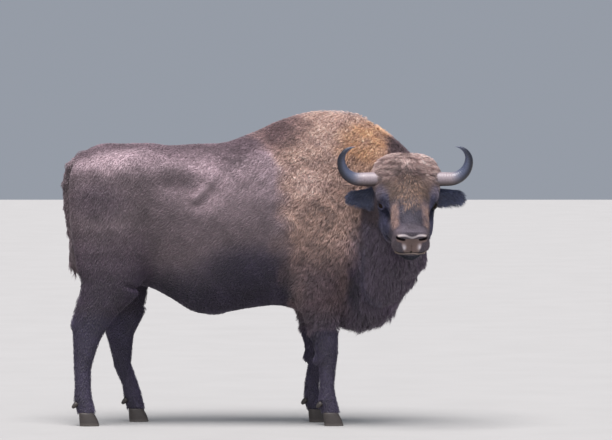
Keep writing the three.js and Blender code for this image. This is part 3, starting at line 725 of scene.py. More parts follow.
def under_coat(d, place):
    """Sets a body's surface back by the coat's depth and ends it at the hooves."""
    close = np.nonzero(np.abs(d) < OUTSIDE)
    d[close] += coat_depth(place.at(close))
    return smooth_max(d, CORONET - SKIN_OVER_HOOF - place.z, HOOF_BLEND)


def skin_level(place):
    """The skin is where this is zero, and inside it is below zero."""
    return under_coat(body_form.distance(place), place)


def cells_beside(edges, axis, du, dw):
    """The cells beside grid edges along an axis, or a step back on either of the other two."""
    back = np.zeros(3, np.int64)
    back[(axis + 1) % 3], back[(axis + 2) % 3] = du, dw
    return edges - back


def net_of(values, axes):
    """Surface nets over a grid of values: corner points and quads of the zero level."""
    inside = values < 0
    cells = [n - 1 for n in values.shape]
    crossing_sum = np.zeros(cells + [3], np.float32)
    crossing_count = np.zeros(cells, np.float32)
    edges = []
    for m in range(3):
        near, far = [slice(None)] * 3, [slice(None)] * 3
        near[m], far[m] = slice(0, -1), slice(1, None)
        near, far = tuple(near), tuple(far)
        crossed = inside[near] != inside[far]
        at = np.argwhere(crossed)
        t = values[near][crossed] / (values[near][crossed] - values[far][crossed])
        point = np.stack([axes[i][at[:, i]] for i in range(3)], axis=1)
        point[:, m] += t * (axes[m][at[:, m] + 1] - axes[m][at[:, m]])
        edges.append((at, inside[near][crossed]))
        for du, dw in ((0, 0), (0, 1), (1, 0), (1, 1)):
            cell = cells_beside(at, m, du, dw)
            ok = ((cell >= 0) & (cell < cells)).all(1)
            index = tuple(cell[ok].T)
            for i in range(3):
                np.add.at(crossing_sum[..., i], index, point[ok, i])
            np.add.at(crossing_count, index, 1)
    used = crossing_count > 0
    number = np.full(cells, -1, np.int64)
    number[used] = np.arange(used.sum())
    points = crossing_sum[used] / crossing_count[used][:, None]
    quads = []
    for m, (at, starts_inside) in enumerate(edges):
        around = [cells_beside(at, m, du, dw) for du, dw in ((1, 1), (0, 1), (0, 0), (1, 0))]
        quad = np.stack([number[tuple(cell.T)] for cell in around], axis=1)
        quads.append(np.where(starts_inside[:, None], quad, quad[:, ::-1]))
    return points, np.concatenate(quads)


def slope_at(level, xyz, e):
    """The gradient of a level at scattered points."""
    slope = np.empty_like(xyz)
    for m in range(3):
        move = np.zeros(3)
        move[m] = e
        slope[:, m] = (level(Points(xyz + move)) - level(Points(xyz - move))) / (2 * e)
    return slope


def onto_level(level, xyz, reach, rounds=2):
    """Moves points towards the zero level along its slope, by at most `reach` a round."""
    for _ in range(rounds):
        slope = slope_at(level, xyz, 0.8)
        steep = np.maximum((slope * slope).sum(1), 0.15)
        step = slope * (level(Points(xyz)) / steep)[:, None]
        far = np.maximum(np.linalg.norm(step, axis=1) / reach, 1)
        xyz = xyz - step / far[:, None]
    return xyz


def fine_regions(xyz):
    """Where the skin needs a finer mesh: round the eyes, the nostrils and the mouth."""
    a, b, c = into_head(xyz).T
    fine = (a > 196) & (c < 40)
    for s in SIDES.values():
        fine |= length3(*eye_coordinates(a, b, c, s)) < 46
    return fine


def corner_places(bm):
    """Brings a mesh's numbering up to date; returns where its corners are."""
    bm.verts.ensure_lookup_table()
    bm.verts.index_update()
    return np.array([v.co for v in bm.verts])


def refined(points, quads, select, reach):
    """A mesh with the chosen faces split into four, their corners settled on the skin again."""
    bm = bmesh.new()
    corners = [bm.verts.new(p) for p in points]
    for quad in quads:
        bm.faces.new([corners[i] for i in quad])
    chosen = select(corner_places(bm))
    edges = [e for e in bm.edges if all(chosen[v.index] for v in e.verts)]
    bmesh.ops.subdivide_edges(bm, edges=edges, cuts=1, use_grid_fill=True)
    xyz = corner_places(bm)
    chosen = np.nonzero(select(xyz))[0]
    for i, place in zip(chosen, onto_level(skin_level, xyz[chosen], reach)):
        bm.verts[i].co = place
    mesh = bpy.data.meshes.new("skin")
    bm.to_mesh(mesh)
    bm.free()
    return mesh


def skin_mesh():
    """The skin's mesh in millimetres."""
    grid = Grid(SKIN_AXES)
    values = np.full([len(axis) for axis in SKIN_AXES], OUTSIDE, np.float32)
    where, inner = grid.part(body_form.low - GRID_MARGIN, body_form.high + GRID_MARGIN)
    values[where] = body_form.distance(inner)
    return refined(*net_of(under_coat(values, grid), SKIN_AXES), fine_regions, SETTLING_REACH)


# ---- meshes and attributes


def read_vectors(mesh, field):
    """Where a mesh's corner points are ("co"), or which way they face ("normal")."""
    values = np.empty(len(mesh.vertices) * 3, np.float32)
    mesh.vertices.foreach_get(field, values)
    return values.reshape(-1, 3).astype(float)


def fill(items, field, values, kind=np.float32):
    """Writes one field of a mesh's points, corners, faces or layers."""
    items.foreach_set(field, np.ascontiguousarray(values, kind).ravel())


def smooth(mesh):
    fill(mesh.polygons, "use_smooth", np.ones(len(mesh.polygons)), bool)


def mesh_from(name, points, faces):
    """A mesh from points in metres and faces that all have the same number of corners."""
    mesh = bpy.data.meshes.new(name)
    mesh.vertices.add(len(points))
    fill(mesh.vertices, "co", points)
    mesh.loops.add(faces.size)
    fill(mesh.loops, "vertex_index", faces, np.int32)
    mesh.polygons.add(len(faces))
    fill(mesh.polygons, "loop_start", np.arange(0, faces.size, faces.shape[1]), np.int32)
    mesh.update(calc_edges=True)
    smooth(mesh)
    return mesh


def into_scene(name, data):
    placed = bpy.data.objects.new(name, data)
    bpy.context.scene.collection.objects.link(placed)
    return placed


def piece_from(mesh, material, replaces=()):
    """Puts a mesh in the scene on the body, with its finish and the CAD nodes it stands for."""
    piece = into_scene(mesh.name, mesh)
    mesh.materials.clear()
    mesh.materials.append(material)
    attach(piece, "root")
    if replaces:
        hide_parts(*replaces)


FIELDS = {"FLOAT": "value", "FLOAT_VECTOR": "vector", "FLOAT_COLOR": "color"}


def store(mesh, name, kind, values):
    """Stores a number, a vector or a colour at every corner point."""
    layers = mesh.color_attributes if kind == "FLOAT_COLOR" else mesh.attributes
    layer = layers.new(name=name, type=kind, domain="POINT")
    fill(layer.data, FIELDS[kind], values)


def set_colour(mesh, rgb):
    """Stores a colour at every corner point, given in sRGB from 0 to 1."""
    rgb = np.clip(rgb, 0, 1)
    linear = np.where(rgb <= 0.04045, rgb / 12.92, ((rgb + 0.055) / 1.055) ** 2.4)
    store(mesh, "Colour", "FLOAT_COLOR", np.concatenate([linear, np.ones((len(rgb), 1))], axis=1))


def srgb(*levels):
    """A colour given as whole numbers up to 255."""
    return np.array(levels) / 255


# ---- markings, and painted light and shade

HIDE = {
    "rump": (128, 112, 118), "dorsal": (78, 65, 71), "thigh": (96, 81, 93),
    "belly": (58, 51, 71), "mantle": (192, 160, 148), "mantle_low": (118, 98, 104),
    "ridge": (104, 84, 86), "amber": (192, 148, 118), "nape": (80, 64, 70),
    "throat": (100, 87, 104), "leg": (76, 69, 92), "crown": (150, 130, 126),
    "crown_dark": (104, 86, 84), "forehead": (116, 99, 96), "straw": (150, 126, 112),
    "face": (78, 72, 88), "bridge": (92, 86, 100), "russet": (172, 145, 142),
    "brow": (132, 124, 146), "jowl": (88, 76, 86), "cheek_shade": (76, 76, 106),
    "eye_hollow_shade": (64, 67, 94), "eye_rim": (26, 24, 30), "muzzle": (104, 94, 106),
    "pad": (112, 92, 88), "rim": (190, 182, 186), "wet_highlight": (238, 230, 236),
    # nostril is near black, for the painted shade in the nostrils, between the lips and in the folds
    # round the eyes
    "nostril": (18, 15, 18), "lip": (204, 184, 170), "chin": (38, 39, 56), "ear": (82, 88, 118),
    "tail": (124, 108, 114), "sheen": (158, 139, 145), "shoulder_highlight": (232, 196, 186),
    "whorl": (78, 64, 64),
}
HIDE = {name: srgb(*levels) for name, levels in HIDE.items()}
FACE_SIDE_LIFT = np.array((0.12, 0.1, 0.05))  # added to the sides of the face, as shares
SKY_LIFT = 0.5  # at most how much lighter, as a share, hair is that faces up: painted sky light


class Hide:
    """The markings and painted light and shade at some points, each laid over what comes before it.
    Places are millimetres.
    """

    def __init__(self, xyz, r):
        self.r = r
        self.patches = ripple(xyz, 130, 11)
        self.blotches = ripple(xyz, 45, 12)
        self.wisps = ripple(xyz * np.array([1.0, 1.0, 0.35]), 16, 13)
        self.rgb = np.tile(HIDE["rump"], (len(xyz), 1))

    def lay(self, name, weight):
        self.rgb = lerp(self.rgb, HIDE[name], np.clip(weight, 0, 1)[:, None])

    def around(self, x, z, wide, high):
        """1 at a place on the side of the body, 0 outside an ellipse about it."""
        return 1 - ramp(np.hypot((self.r.x - x) / wide, (self.r.z - z) / high), 0.2, 1.0)

    def lay_trunk(self):
        lay, around, r = self.lay, self.around, self.r
        below_back = back_line(r.x) - r.z
        # Painted highlights: sky light on the top of the rump and in a broad band along the barrel.
        lay("sheen", around(-860, 1440, 200, 90) * 0.8 + around(-260, 1250, 300, 150) * 0.35)
        lay("thigh", around(-925, 1240, 230, 150) * 0.6)
        lay("thigh", ramp(-r.z, -1150, -900) * ramp(-r.x, 560, 700))
        # Darker low on the barrel: the belly's own darker hair, and painted shade under the barrel.
        lay("belly", ramp(-r.z, -960, -700) * (0.9 - 0.45 * ramp(-r.x, 660, 820)))
        lay("belly", around(-90, 865, 370, 200) * 0.85)
        lay("dorsal", ramp(-np.abs(r.y), -130, -60) * ramp(r.z, 1440, 1500) * 0.8)
        lay("dorsal", ramp(-below_back, -200, -60) * ramp(r.x, -330, -120) * 0.85)
        lay("dorsal", ramp(-below_back, -125, -50) * ramp(r.x, -720, -540) * 0.45)

    def lay_mantle(self):
        lay, around, r = self.lay, self.around, self.r
        below_back = back_line(r.x) - r.z
        lay("mantle", r.mantle * (0.94 + 0.12 * self.blotches))
        # Painted highlight on the upper shoulder.
        lay("shoulder_highlight", r.mantle * around(240, 1350, 150, 150) * 0.75)
        lay("ridge", r.mantle * ramp(-r.x, -300, -60) * ramp(-below_back, -230, -70))
        lay("mantle_low", r.mantle * ramp(-r.z, -1080, -780) * (0.9 + 0.2 * self.patches))
        spot = length3((r.x - 560) / 190, (r.y + 60) / 400, (r.z - 1540) / 150)
        lay("amber", r.mantle * (1 - ramp(spot, 0.5, 1.2)) * (0.85 + 0.3 * self.blotches))
        lay("leg", r.mantle * ramp(-r.z, -720, -560) * 0.55)
        lay("throat", r.throat)
        # Painted shade in the fold behind the elbow, in the fold between the arm and the brisket, and
        # between the forelegs at the forearms.
        lay("belly", around(110, 780, 45, 220) * 0.3 + around(487, 790, 50, 190) * 0.75)
        lay("belly", around(330, 500, 60, 60) * 0.7)
        beside_face = np.hypot((r.x - 570) / 60, (r.z - 1090) / 170)
        lay("amber", r.mantle * (1 - ramp(beside_face, 0.4, 1.1)) * 0.3)
        lay("nape", r.mantle * ramp(r.x, 640, 690) * ramp(r.z, 1430, 1520) * 0.95)

    def lay_face(self):
        lay, r = self.lay, self.r
        wide = np.abs(r.b)
        lay("face", r.head)
        lay("jowl", r.head * ramp(-r.a, -20, 40) * ramp(-r.c, -30, 20) * (1 - r.ear))
        top = r.head * ramp(r.c, -40, 10) * (1 - r.ear)
        lay("bridge", top * ramp(-wide, -60, -40) * ramp(r.a, 40, 90))
        streak = ramp(wide, 50, 72) * ramp(-wide, -112, -94)
        streak *= ramp(r.a, 30, 80) * ramp(-r.a, -212, -180)
        lay("russet", top * streak * (0.85 + 0.3 * self.wisps))
        lay("forehead", top * ramp(-r.a, -70, 0) * ramp(-wide, -150, -110))
        lay("straw", r.wisps * (0.3 + 0.3 * self.wisps))
        lay("crown", r.crown)
        swirl = ripple(np.stack([r.a, r.b * 0.3, r.c], axis=1), 20, 14)
        lay("crown_dark", np.maximum(r.crown, r.forehead) * ramp(swirl, 0.0, 0.9) * 0.8)
        whorl = 1 - ramp(np.hypot((r.a + 92) / 62, (r.b - 8 * swirl) / 100), 0.35, 1.0)
        lay("whorl", top * whorl * 0.85)

    def lay_eye(self, s):
        lay, r = self.lay, self.r
        u, v, w = eye_coordinates(r.a, r.b, r.c, s)
        lay("brow", r.head * (1 - ramp(length3(u + 40, v + 52, w), 28, 70)) * 0.85)
        # Painted shade on the sides of the face, from the eyes towards the muzzle, and in the hollow in
        # front of and below each eye.
        beside = ramp(np.abs(r.b), 102, 122)
        lay("cheek_shade", r.head * beside * ramp(r.a, -30, 20) * ramp(-r.a, -190, -110))
        lay("eye_hollow_shade", r.head * (1 - ramp(length3(u - 14, v - 16, w), 34, 66)))
        lay("eye_rim", r.head * (1 - ramp(length3(u, v, w), 25, 31)))

    def lay_muzzle(self):
        lay, r = self.lay, self.r
        lay("throat", r.beard)
        lay("muzzle", r.muzzle * (1 - r.pad))
        lay("chin", r.muzzle * ramp(-r.c, 138, 150))
        lay("pad", r.pad)
        # Painted highlights: two near-white spots of wet shine on the pad's lobes, and a light line
        # along the rim over the nostrils.
        highlight_spots = ramp(-np.hypot((np.abs(r.b) - 43) / 22, (r.c + 74) / 32), -1.0, 0.0)
        lay("wet_highlight", r.pad * highlight_spots * (0.8 + 0.3 * self.wisps))
        lay("rim", r.rim * 0.85)
        lay("lip", r.muzzle * ramp(-np.abs(r.c + 127), -9, -4) * ramp(r.a, 222, 236) * 0.8)


def hide_colour(xyz, r, normals):
    """The colour of skin and coat alike, painted light and shade included, in sRGB from 0 to 1."""
    hide = Hide(xyz, r)
    hide.lay_trunk()
    hide.lay_mantle()
    hide.lay("leg", r.leg)
    hide.lay("tail", r.tail)
    hide.lay_face()
    for s in SIDES.values():
        hide.lay_eye(s)
    hide.lay_muzzle()
    hide.lay("ear", r.ear)
    light = 1 + 0.07 * hide.patches + 0.06 * hide.blotches
    # Painted sky light: hair that faces up is laid lighter, less on the ears, tail, face and mantle.
    painted_sky_light = ramp(normals[:, 2], -0.05, 0.75) * (1 - r.ear) * (1 - 0.6 * r.tail)
    painted_sky_light *= 1 - 0.75 * r.head * (1 - r.crown) - 0.4 * r.mantle
    face_side = r.head * (1 - r.ear) * (1 - r.crown) * (1 - r.beard) * ramp(np.abs(r.b), 45, 95)
    rgb = hide.rgb * (1 + face_side[:, None] * FACE_SIDE_LIFT)
    return rgb * (light * (1 + SKY_LIFT * painted_sky_light))[:, None]


# ---- the lie of the coat


def lie_of_coat(r, normals):
    """The direction in which the hair lies at each point, along the skin."""
    count = len(r.x)

    def along(x, y, z):
        return np.stack([np.broadcast_to(v, count) for v in (x, y, z)], axis=1).astype(float)

    def head_along(a, b, c):
        return along(a, b, c) @ HEAD_AXES

    side = np.sign(r.y)
    lie = along(-0.85, 0.0, -0.5)

    def lay(direction, weight):
        nonlocal lie
        lie = lerp(lie, direction, weight[:, None])

    lay(along(-0.35, 0.0, -0.95), ramp(-r.x, 560, 860))
    lay(along(-0.5, 0.0, -0.85), r.mantle)
    lay(along(-0.25, 0.15 * side, -0.95), r.mantle * ramp(r.x, 380, 620))
    lay(along(0.0, 0.0, -1.0), np.maximum(r.throat, r.leg))
    lay(along(0.0, 0.0, -1.0), r.tail)
    turn = np.sign(r.b)
    lay(head_along(0.75, 0.1 * turn, -0.35), r.head)
    lay(head_along(0.05, 0.0, -0.95), r.head * ramp(-r.c, 40, 110) * (1 - r.muzzle))
    lay(head_along(0.55, r.b / 110, -0.25), r.forehead)
    lay(head_along(0.5, r.b / 70, -0.25), r.crown)
    lay(head_along(-0.35, 0.8 * turn, -0.75), r.ear)
    lie = lie - normals * (lie * normals).sum(1)[:, None]
    return unit(lie)


# ---- tufts


def sample_roots(mesh, random):
    """Places on the skin, evenly spread, closer together where the coat is finer."""
    mesh.calc_loop_triangles()
    corners = np.empty(len(mesh.loop_triangles) * 3, np.int32)
    mesh.loop_triangles.foreach_get("vertices", corners)
    triangle = read_vectors(mesh, "co")[corners.reshape(-1, 3)]
    cross = np.cross(triangle[:, 1] - triangle[:, 0], triangle[:, 2] - triangle[:, 0])
    area = np.linalg.norm(cross, axis=1) / 2
    r = Regions(triangle.mean(1))
    density = 1 / coat_value(r, "spacing") ** 2
    density *= (r.skin_only < 0.3) & (r.pad < 0.4) & (r.z > CORONET + 4)
    total = np.cumsum(area * density)
    count = int(total[-1])
    chosen = np.searchsorted(total, (np.arange(count) + random.random(count)) / count * total[-1])
    u, v = random.random(count), random.random(count)
    flip = u + v > 1
    u, v = np.where(flip, 1 - u, u), np.where(flip, 1 - v, v)
    t = triangle[chosen]
    xyz = t[:, 0] + (t[:, 1] - t[:, 0]) * u[:, None] + (t[:, 2] - t[:, 0]) * v[:, None]
    return xyz, unit(cross[chosen])


def in_crease(xyz, r):
    """Inside the nostrils, between the lips and in the folds round the eyes."""
    head = into_head(xyz)
    d = plain_head.distance(Points(head))
    return (r.head > 0.5) & (d < -coat_depth(xyz) - 5)


# Where along the body the legs and the tail stand, for their unwraps.
FORELEG_X = 300
HINDLEG_X = -930
TAIL_X = -1084


def turn_about(first, second):
    """The direction of a point seen from an axis, from 0 to 1 round it."""
    return np.arctan2(first, second) / (2 * math.pi) + 0.5


def share(value, start, length):
    """How far along a length a value lies, from 0 at its start to 1."""
    return (value - start) / length


def chart_of(name, xyz):
    """Where a root lies on the unwrap of its own part of the skin, from 0 to 1 both ways."""
    x, y, z = xyz.T
    if name in ("head", "crown", "ears"):
        a, b, c = into_head(xyz).T
        turn = turn_about(b, c + 20)
        if name == "ears":
            return share(np.abs(b), 150, 190), np.where(b > 0, 0.5, 0) + turn / 2
        return turn, share(a, -320, 620)
    if name in ("forelegs", "hindlegs"):
        middle_y = (FORE_TRACK if name == "forelegs" else HIND_TRACK) * np.sign(y)
        middle_x = FORELEG_X if name == "forelegs" else HINDLEG_X
        turn = turn_about(y - middle_y, x - middle_x)
        return np.where(y > 0, 0.5, 0) + turn / 2, share(z, 0, 760)
    if name == "tail":
        return turn_about(y, x - TAIL_X), share(z, 740, 760)
    if name in ("neck_right", "neck_left", "brisket"):
        return turn_about(y + 140, x - 600), share(z, 480, 1280)
    return turn_about(y, z - 1120), share(x, -1180, 1900)


def piece_of(r):
    """The coat piece that each root belongs to: a later rule overrules those before it."""
    right, high = r.y < 0, r.z > 1230
    rump, mantle = r.x < -430, r.mantle > 0.5
    neck, leg, head = mantle & (r.x > 500), r.leg > 0.5, r.head > 0.5
    rules = {
        "croup": rump & (r.z >= 1150),
        "thighs": rump & (r.z < 1150),
        "hump_right": mantle & high & right,
        "hump_left": mantle & high & ~right,
        "shoulder_right": mantle & ~high & right,
        "shoulder_left": mantle & ~high & ~right,
        "neck_right": neck & (r.y < -150),
        "neck_left": neck & (r.y >= -150),
        "brisket": neck & (r.z < 900),
        "forelegs": leg & (r.x > 0),
        "hindlegs": leg & (r.x < 0),
        "tail": r.tail > 0.5,
        "head": head,
        "crown": np.maximum(r.crown, r.forehead) > 0.5,
        "ears": head & (r.ear > 0.5),
    }
    names = np.full(len(r.x), "barrel", dtype=object)
    for name, where in rules.items():
        names[where] = name
    return names


SLOT_PIECES = [  # the coat's pieces in the order they are made, grouped under slot names that are not used
    ("coat_dark", ["barrel", "croup", "thighs"]),
    ("coat_tawny", ["hump_right", "hump_left", "shoulder_right", "shoulder_left"]),
    ("coat_brown", ["neck_right", "neck_left"]),
    ("coat_dark", ["forelegs", "hindlegs"]),
    ("coat_black", ["tail"]),
    ("coat_brown", ["brisket", "head", "crown"]),
    ("coat_black", ["ears"]),
]
COAT_SEED = 71
GOLDEN = srgb(208, 170, 148)  # single hairs among the darker ones between the eyes
GOLDEN_SHARE = 0.4
LOCK_SIZE = 8  # about how many tufts draw together
LONG_HAIR = 30  # longer tufts have two rings of corners, the others one
SHORT_RINGS = (0.4,)
LONG_RINGS = (0.3, 0.66)
ARM_FRINGE = 24  # how much longer the hair is behind the forearm
ROOT_DEPTH = 2
PATCH = 0.003  # size of a tuft on the unwrap
RING = [(-0.5, -0.12), (0.5, -0.12), (0.0, 0.42)]  # across and up, in widths


def clumps(roots, tips, strength, random):
    """How far each tip moves towards its lock's leading tip, and the number of that leader."""
    drawn = np.nonzero(strength > 0.02)[0]
    leaders = drawn[random.random(len(drawn)) < 1 / LOCK_SIZE]
    tree = KDTree(len(leaders))
    for i, leader in enumerate(leaders):
        tree.insert(roots[leader], i)
    tree.balance()
    nearest = np.array([tree.find(roots[i])[1] for i in drawn])
    leader_of = np.arange(len(roots))
    leader_of[drawn] = leaders[nearest]
    return (tips[leader_of] - tips) * strength[:, None], leader_of


class Tufts:
    """The whole coat before it becomes meshes: where each tuft stands, its lie, size and colour."""

    def __init__(self, mesh, random):
        roots, normals = sample_roots(mesh, random)
        keep = ~in_crease(roots, Regions(roots))
        self.roots, self.normals = roots[keep], normals[keep]
        self.count = len(self.roots)
        self.r = Regions(self.roots)
        self.comb(random)
        self.measure(random)
        strength = coat_value(self.r, "clump")
        self.pull, lock = clumps(self.roots, self.at(1.0), strength, random)
        self.paint(lock, random)

    def comb(self, random):
        """The lie of each tuft: it wanders in waves, and a little from tuft to tuft."""
        lie = lie_of_coat(self.r, self.normals)
        across = np.cross(self.normals, lie)
        wander = coat_value(self.r, "wander")
        angle = wander * (1.1 * ripple(self.roots, 60, 21) + 0.9 * ripple(self.roots, 24, 22))
        angle += wander * 0.45 * random.normal(size=self.count)
        cos, sin = np.cos(angle)[:, None], np.sin(angle)[:, None]
        self.lie, self.across = lie * cos + across * sin, across * cos - lie * sin

    def measure(self, random):
        """Length, width and height of each tuft, how far it hangs and how it waves."""
        r, normals, count = self.r, self.normals, self.count
        length = coat_value(r, "length") * random.uniform(0.72, 1.2, count)
        behind_arm = ramp(-normals[:, 0], 0.0, 0.7) * ramp(r.x, 0, 60) * (1 - ramp(r.x, 400, 440))
        length += ARM_FRINGE * behind_arm * ramp(r.z, 330, 400) * ramp(-r.z, -700, -600)
        self.width = coat_value(r, "width") * random.uniform(0.75, 1.2, count)
        height = coat_depth(self.roots) * random.uniform(0.45, 1.08, count) + 0.5
        beside_ear = (1 - ramp(ear_distance(into_head(self.roots)), 10, 60)) * (1 - r.ear)
        self.length = length * (1 - 0.6 * beside_ear)
        self.height = height * (1 - 0.6 * beside_ear)
        self.hang = (r.throat + r.beard + 0.4 * r.mantle + 0.3 * r.crown + 1.4 * r.ear) * 0.22
        curl = 0.09 * r.mantle + 0.12 * r.crown + 0.08 * r.forehead
        self.wave = curl * self.length * random.normal(size=count)

    def at(self, t):
        """Places along every tuft, from 0 at its root to 1 at its tip."""
        rise = self.height * (1 - (1 - t) ** 2.2)
        point = self.roots + self.lie * (self.length * t)[:, None] + self.normals * rise[:, None]
        point = point + self.across * (self.wave * math.sin(t * 5.2))[:, None]
        point[:, 2] -= self.hang * self.length * t * t
        return point

    def paint(self, lock, random):
        """Colours each tuft: locks differ, tufts differ a little, and some hairs are golden."""
        colour = hide_colour(self.roots, self.r, self.normals)
        uneven = 0.03 + 0.05 * self.r.mantle + 0.08 * self.r.crown
        lock_light = random.normal(size=self.count)[lock] * uneven
        light = 1 + lock_light + 0.09 * random.normal(size=self.count)
        golden = self.r.wisps * (random.random(self.count) < GOLDEN_SHARE)
        self.colour = lerp(colour * np.clip(light, 0.6, 1.5)[:, None], GOLDEN, golden[:, None])

    def spindles(self, pick, rings):
        """Closed spindles: a buried root, rings of three corners and a tip."""
        across, normals, colour = self.across[pick], self.normals[pick], self.colour[pick]
        stops = [(0.0, 0.0, 0.58)] + [(t, 1.0 - 0.35 * (t > 0.5), 0.7 + 0.35 * t) for t in rings]
        stops.append((1.0, 0.0, 1.14))
        points, shades, patches = [], [], []
        for t, fat, shade in stops:
            centre = self.at(t)[pick] + self.pull[pick] * t**1.5
            if t == 0:
                centre = centre - normals * ROOT_DEPTH
            for u, v in RING if fat else [(0, 0)]:
                offset = across * u + normals * v
                points.append(centre + offset * (self.width[pick] * fat)[:, None])
                shades.append(colour * shade)
                patches.append((u * PATCH, (t - 0.5) * PATCH))
        return {
            "points": np.stack(points, axis=1),
            "shades": np.stack(shades, axis=1),
            "patches": np.array(patches),
            "faces": spindle_faces(len(rings)),
            "roots": self.roots[pick],
        }


def spindle_faces(rings):
    """Triangles of one spindle, its corners numbered from root to tip."""
    around = [(k, (k + 1) % 3) for k in range(3)]
    faces = [(0, 1 + after, 1 + k) for k, after in around]
    for low in range(1, 3 * rings - 2, 3):
        for k, after in around:
            a, b = low + k, low + after
            faces += [(a, b, b + 3), (a, b + 3, a + 3)]
    low = 3 * rings - 2
    faces += [(low + k, low + after, low + 3) for k, after in around]
    return np.array(faces)


def grow_coat(mesh, material):
    """Makes the coat's pieces, each of its short and its long tufts."""
    tufts = Tufts(mesh, np.random.default_rng(COAT_SEED))
    names = piece_of(tufts.r)
    is_long = tufts.length > LONG_HAIR
    for slot, pieces in SLOT_PIECES:
        for name in pieces:
            parts = []
            for alike, rings in ((~is_long, SHORT_RINGS), (is_long, LONG_RINGS)):
                pick = np.nonzero((names == name) & alike)[0]
                if len(pick):
                    parts.append(tufts.spindles(pick, rings))
            join_tufts(name, parts, material)


def join_tufts(name, parts, material):
    """Makes one coat piece of its short and its long tufts, with its unwrap."""
    points, shades, faces, uvs = [], [], [], []
    start = 0
    for part in parts:
        each = part["points"].shape[1]
        number = np.arange(len(part["roots"])) * each + start
        points.append(part["points"].reshape(-1, 3))
        shades.append(part["shades"].reshape(-1, 3))
        faces.append((part["faces"][None] + number[:, None, None]).reshape(-1, 3))
        chart = np.stack(chart_of(name, part["roots"]), axis=1)
        uvs.append((chart[:, None] + part["patches"][None]).reshape(-1, 2))
        start += each * len(part["roots"])
    faces = np.concatenate(faces)
    mesh = mesh_from(f"coat_{name}", to_row(np.concatenate(points)), faces)
    set_colour(mesh, np.concatenate(shades))
    layer = mesh.uv_layers.new(name="OFBake")
    uv = np.clip(np.concatenate(uvs), 0.001, 0.999)[faces.ravel()]
    fill(layer.data, "uv", uv)
    piece_from(mesh, material)


# ---- materials


class Finish:
    """A material in the making: short names for the nodes that feed its shader."""

    def __init__(self, name, **inputs):
        self.material = bpy.data.materials.new(name)
        self.material.use_nodes = True
        self.tree = self.material.node_tree
        self.set(**inputs)

    def set(self, **inputs):
        """Gives the shader's inputs fixed values or links them."""
        named = {key.replace("_", " "): value for key, value in inputs.items()}
        self.feed(self.tree.nodes["Principled BSDF"], named)

    def feed(self, node, inputs):
        for key, value in inputs.items():
            if isinstance(value, bpy.types.NodeSocket):
                self.tree.links.new(value, node.inputs[key])
            else:
                node.inputs[key].default_value = value

    def node(self, kind, inputs, **settings):
        """Adds a node; returns its outputs."""
        made = self.tree.nodes.new("ShaderNode" + kind)
        for key, value in settings.items():
            setattr(made, key, value)
        self.feed(made, inputs)
        return made.outputs

    def place(self):
        return self.node("TexCoord", {})["Object"]

    def stored(self, name, output="Fac"):
        return self.node("Attribute", {}, attribute_name=name)[output]

    def noise(self, vector, scale, detail=3.0, rough=0.55):
        inputs = {"Vector": vector, "Scale": scale, "Detail": detail, "Roughness": rough}
        return self.node("TexNoise", inputs)["Fac"]

    def span(self, value, low, high):
        """Maps the middle of a noise, 0.3 to 0.7, onto low..high."""
        inputs = {"Value": value, "From Min": 0.3, "From Max": 0.7, "To Min": low, "To Max": high}
        return self.node("MapRange", inputs)["Result"]

    def vector(self, operation, first, second):
        return self.node("VectorMath", {0: first, 1: second}, operation=operation)

    def scaled(self, vector, factor):
        return self.node("VectorMath", {0: vector, "Scale": factor}, operation="SCALE")["Vector"]

    def number(self, operation, first, second):
        return self.node("Math", {0: first, 1: second}, operation=operation)["Value"]

    def tint(self, *shades):
        """The painted colour, lighter and darker by each shade in turn."""
        colour = self.stored("Colour", "Color")
        for shade in shades:
            colour = self.scaled(colour, shade)
        self.set(Base_Color=colour)

    def relief(self, height, distance, strength):
        inputs = {"Strength": strength, "Distance": distance, "Height": height}
        self.set(Normal=self.node("Bump", inputs)["Normal"])


def coat_material():
    finish = Finish("coat hair", Roughness=0.62, Sheen_Weight=0.15, Specular_IOR_Level=0.3)
    place = finish.place()
    fine = finish.noise(place, 260)
    finish.tint(finish.span(fine, 0.86, 1.14))
    finish.set(Roughness=finish.span(finish.noise(place, 40), 0.52, 0.72))
    finish.relief(fine, 0.0006, 0.5)
    return finish.material


def skin_material():
    """Skin under short flat hair: streaks along the lie of the coat in colour and relief."""
    finish = Finish("skin", Roughness=0.7, Specular_IOR_Level=0.35)
    place = finish.place()
    lie = finish.stored("Lie", "Vector")
    along = finish.vector("DOT_PRODUCT", place, lie)["Value"]
    drawn = finish.scaled(lie, finish.number("MULTIPLY", along, -0.86))
    streaks = finish.noise(finish.vector("ADD", place, drawn)["Vector"], 420, 4.0, 0.6)
    soft = finish.noise(place, 30)
    finish.tint(finish.span(streaks, 0.72, 1.16), finish.span(soft, 0.92, 1.08))
    shine = {
        "Factor": finish.stored("Gloss"),
        "A": finish.span(streaks, 0.62, 0.8),
        "B": finish.span(finish.noise(place, 300), 0.22, 0.42),
    }
    finish.set(Roughness=finish.node("Mix", shine, data_type="FLOAT")["Result"])
    finish.relief(streaks, 0.0012, 0.7)
    return finish.material


def horn_material():
    finish = Finish("horn sheath", Roughness=0.4)
    place = finish.place()
    spread = finish.node("CombineXYZ", {"X": finish.stored("Along")})["Vector"]
    waves = {"Vector": spread, "Scale": 9.0, "Distortion": 3.0, "Detail": 3.0}
    rings = finish.node("TexWave", waves)["Fac"]
    grain = finish.noise(place, 150, 4.0)
    finish.tint(finish.span(grain, 0.82, 1.14))
    finish.set(Roughness=finish.span(finish.noise(place, 60), 0.3, 0.5))
    finish.relief(finish.number("ADD", grain, rings), 0.0008, 0.5)
    return finish.material


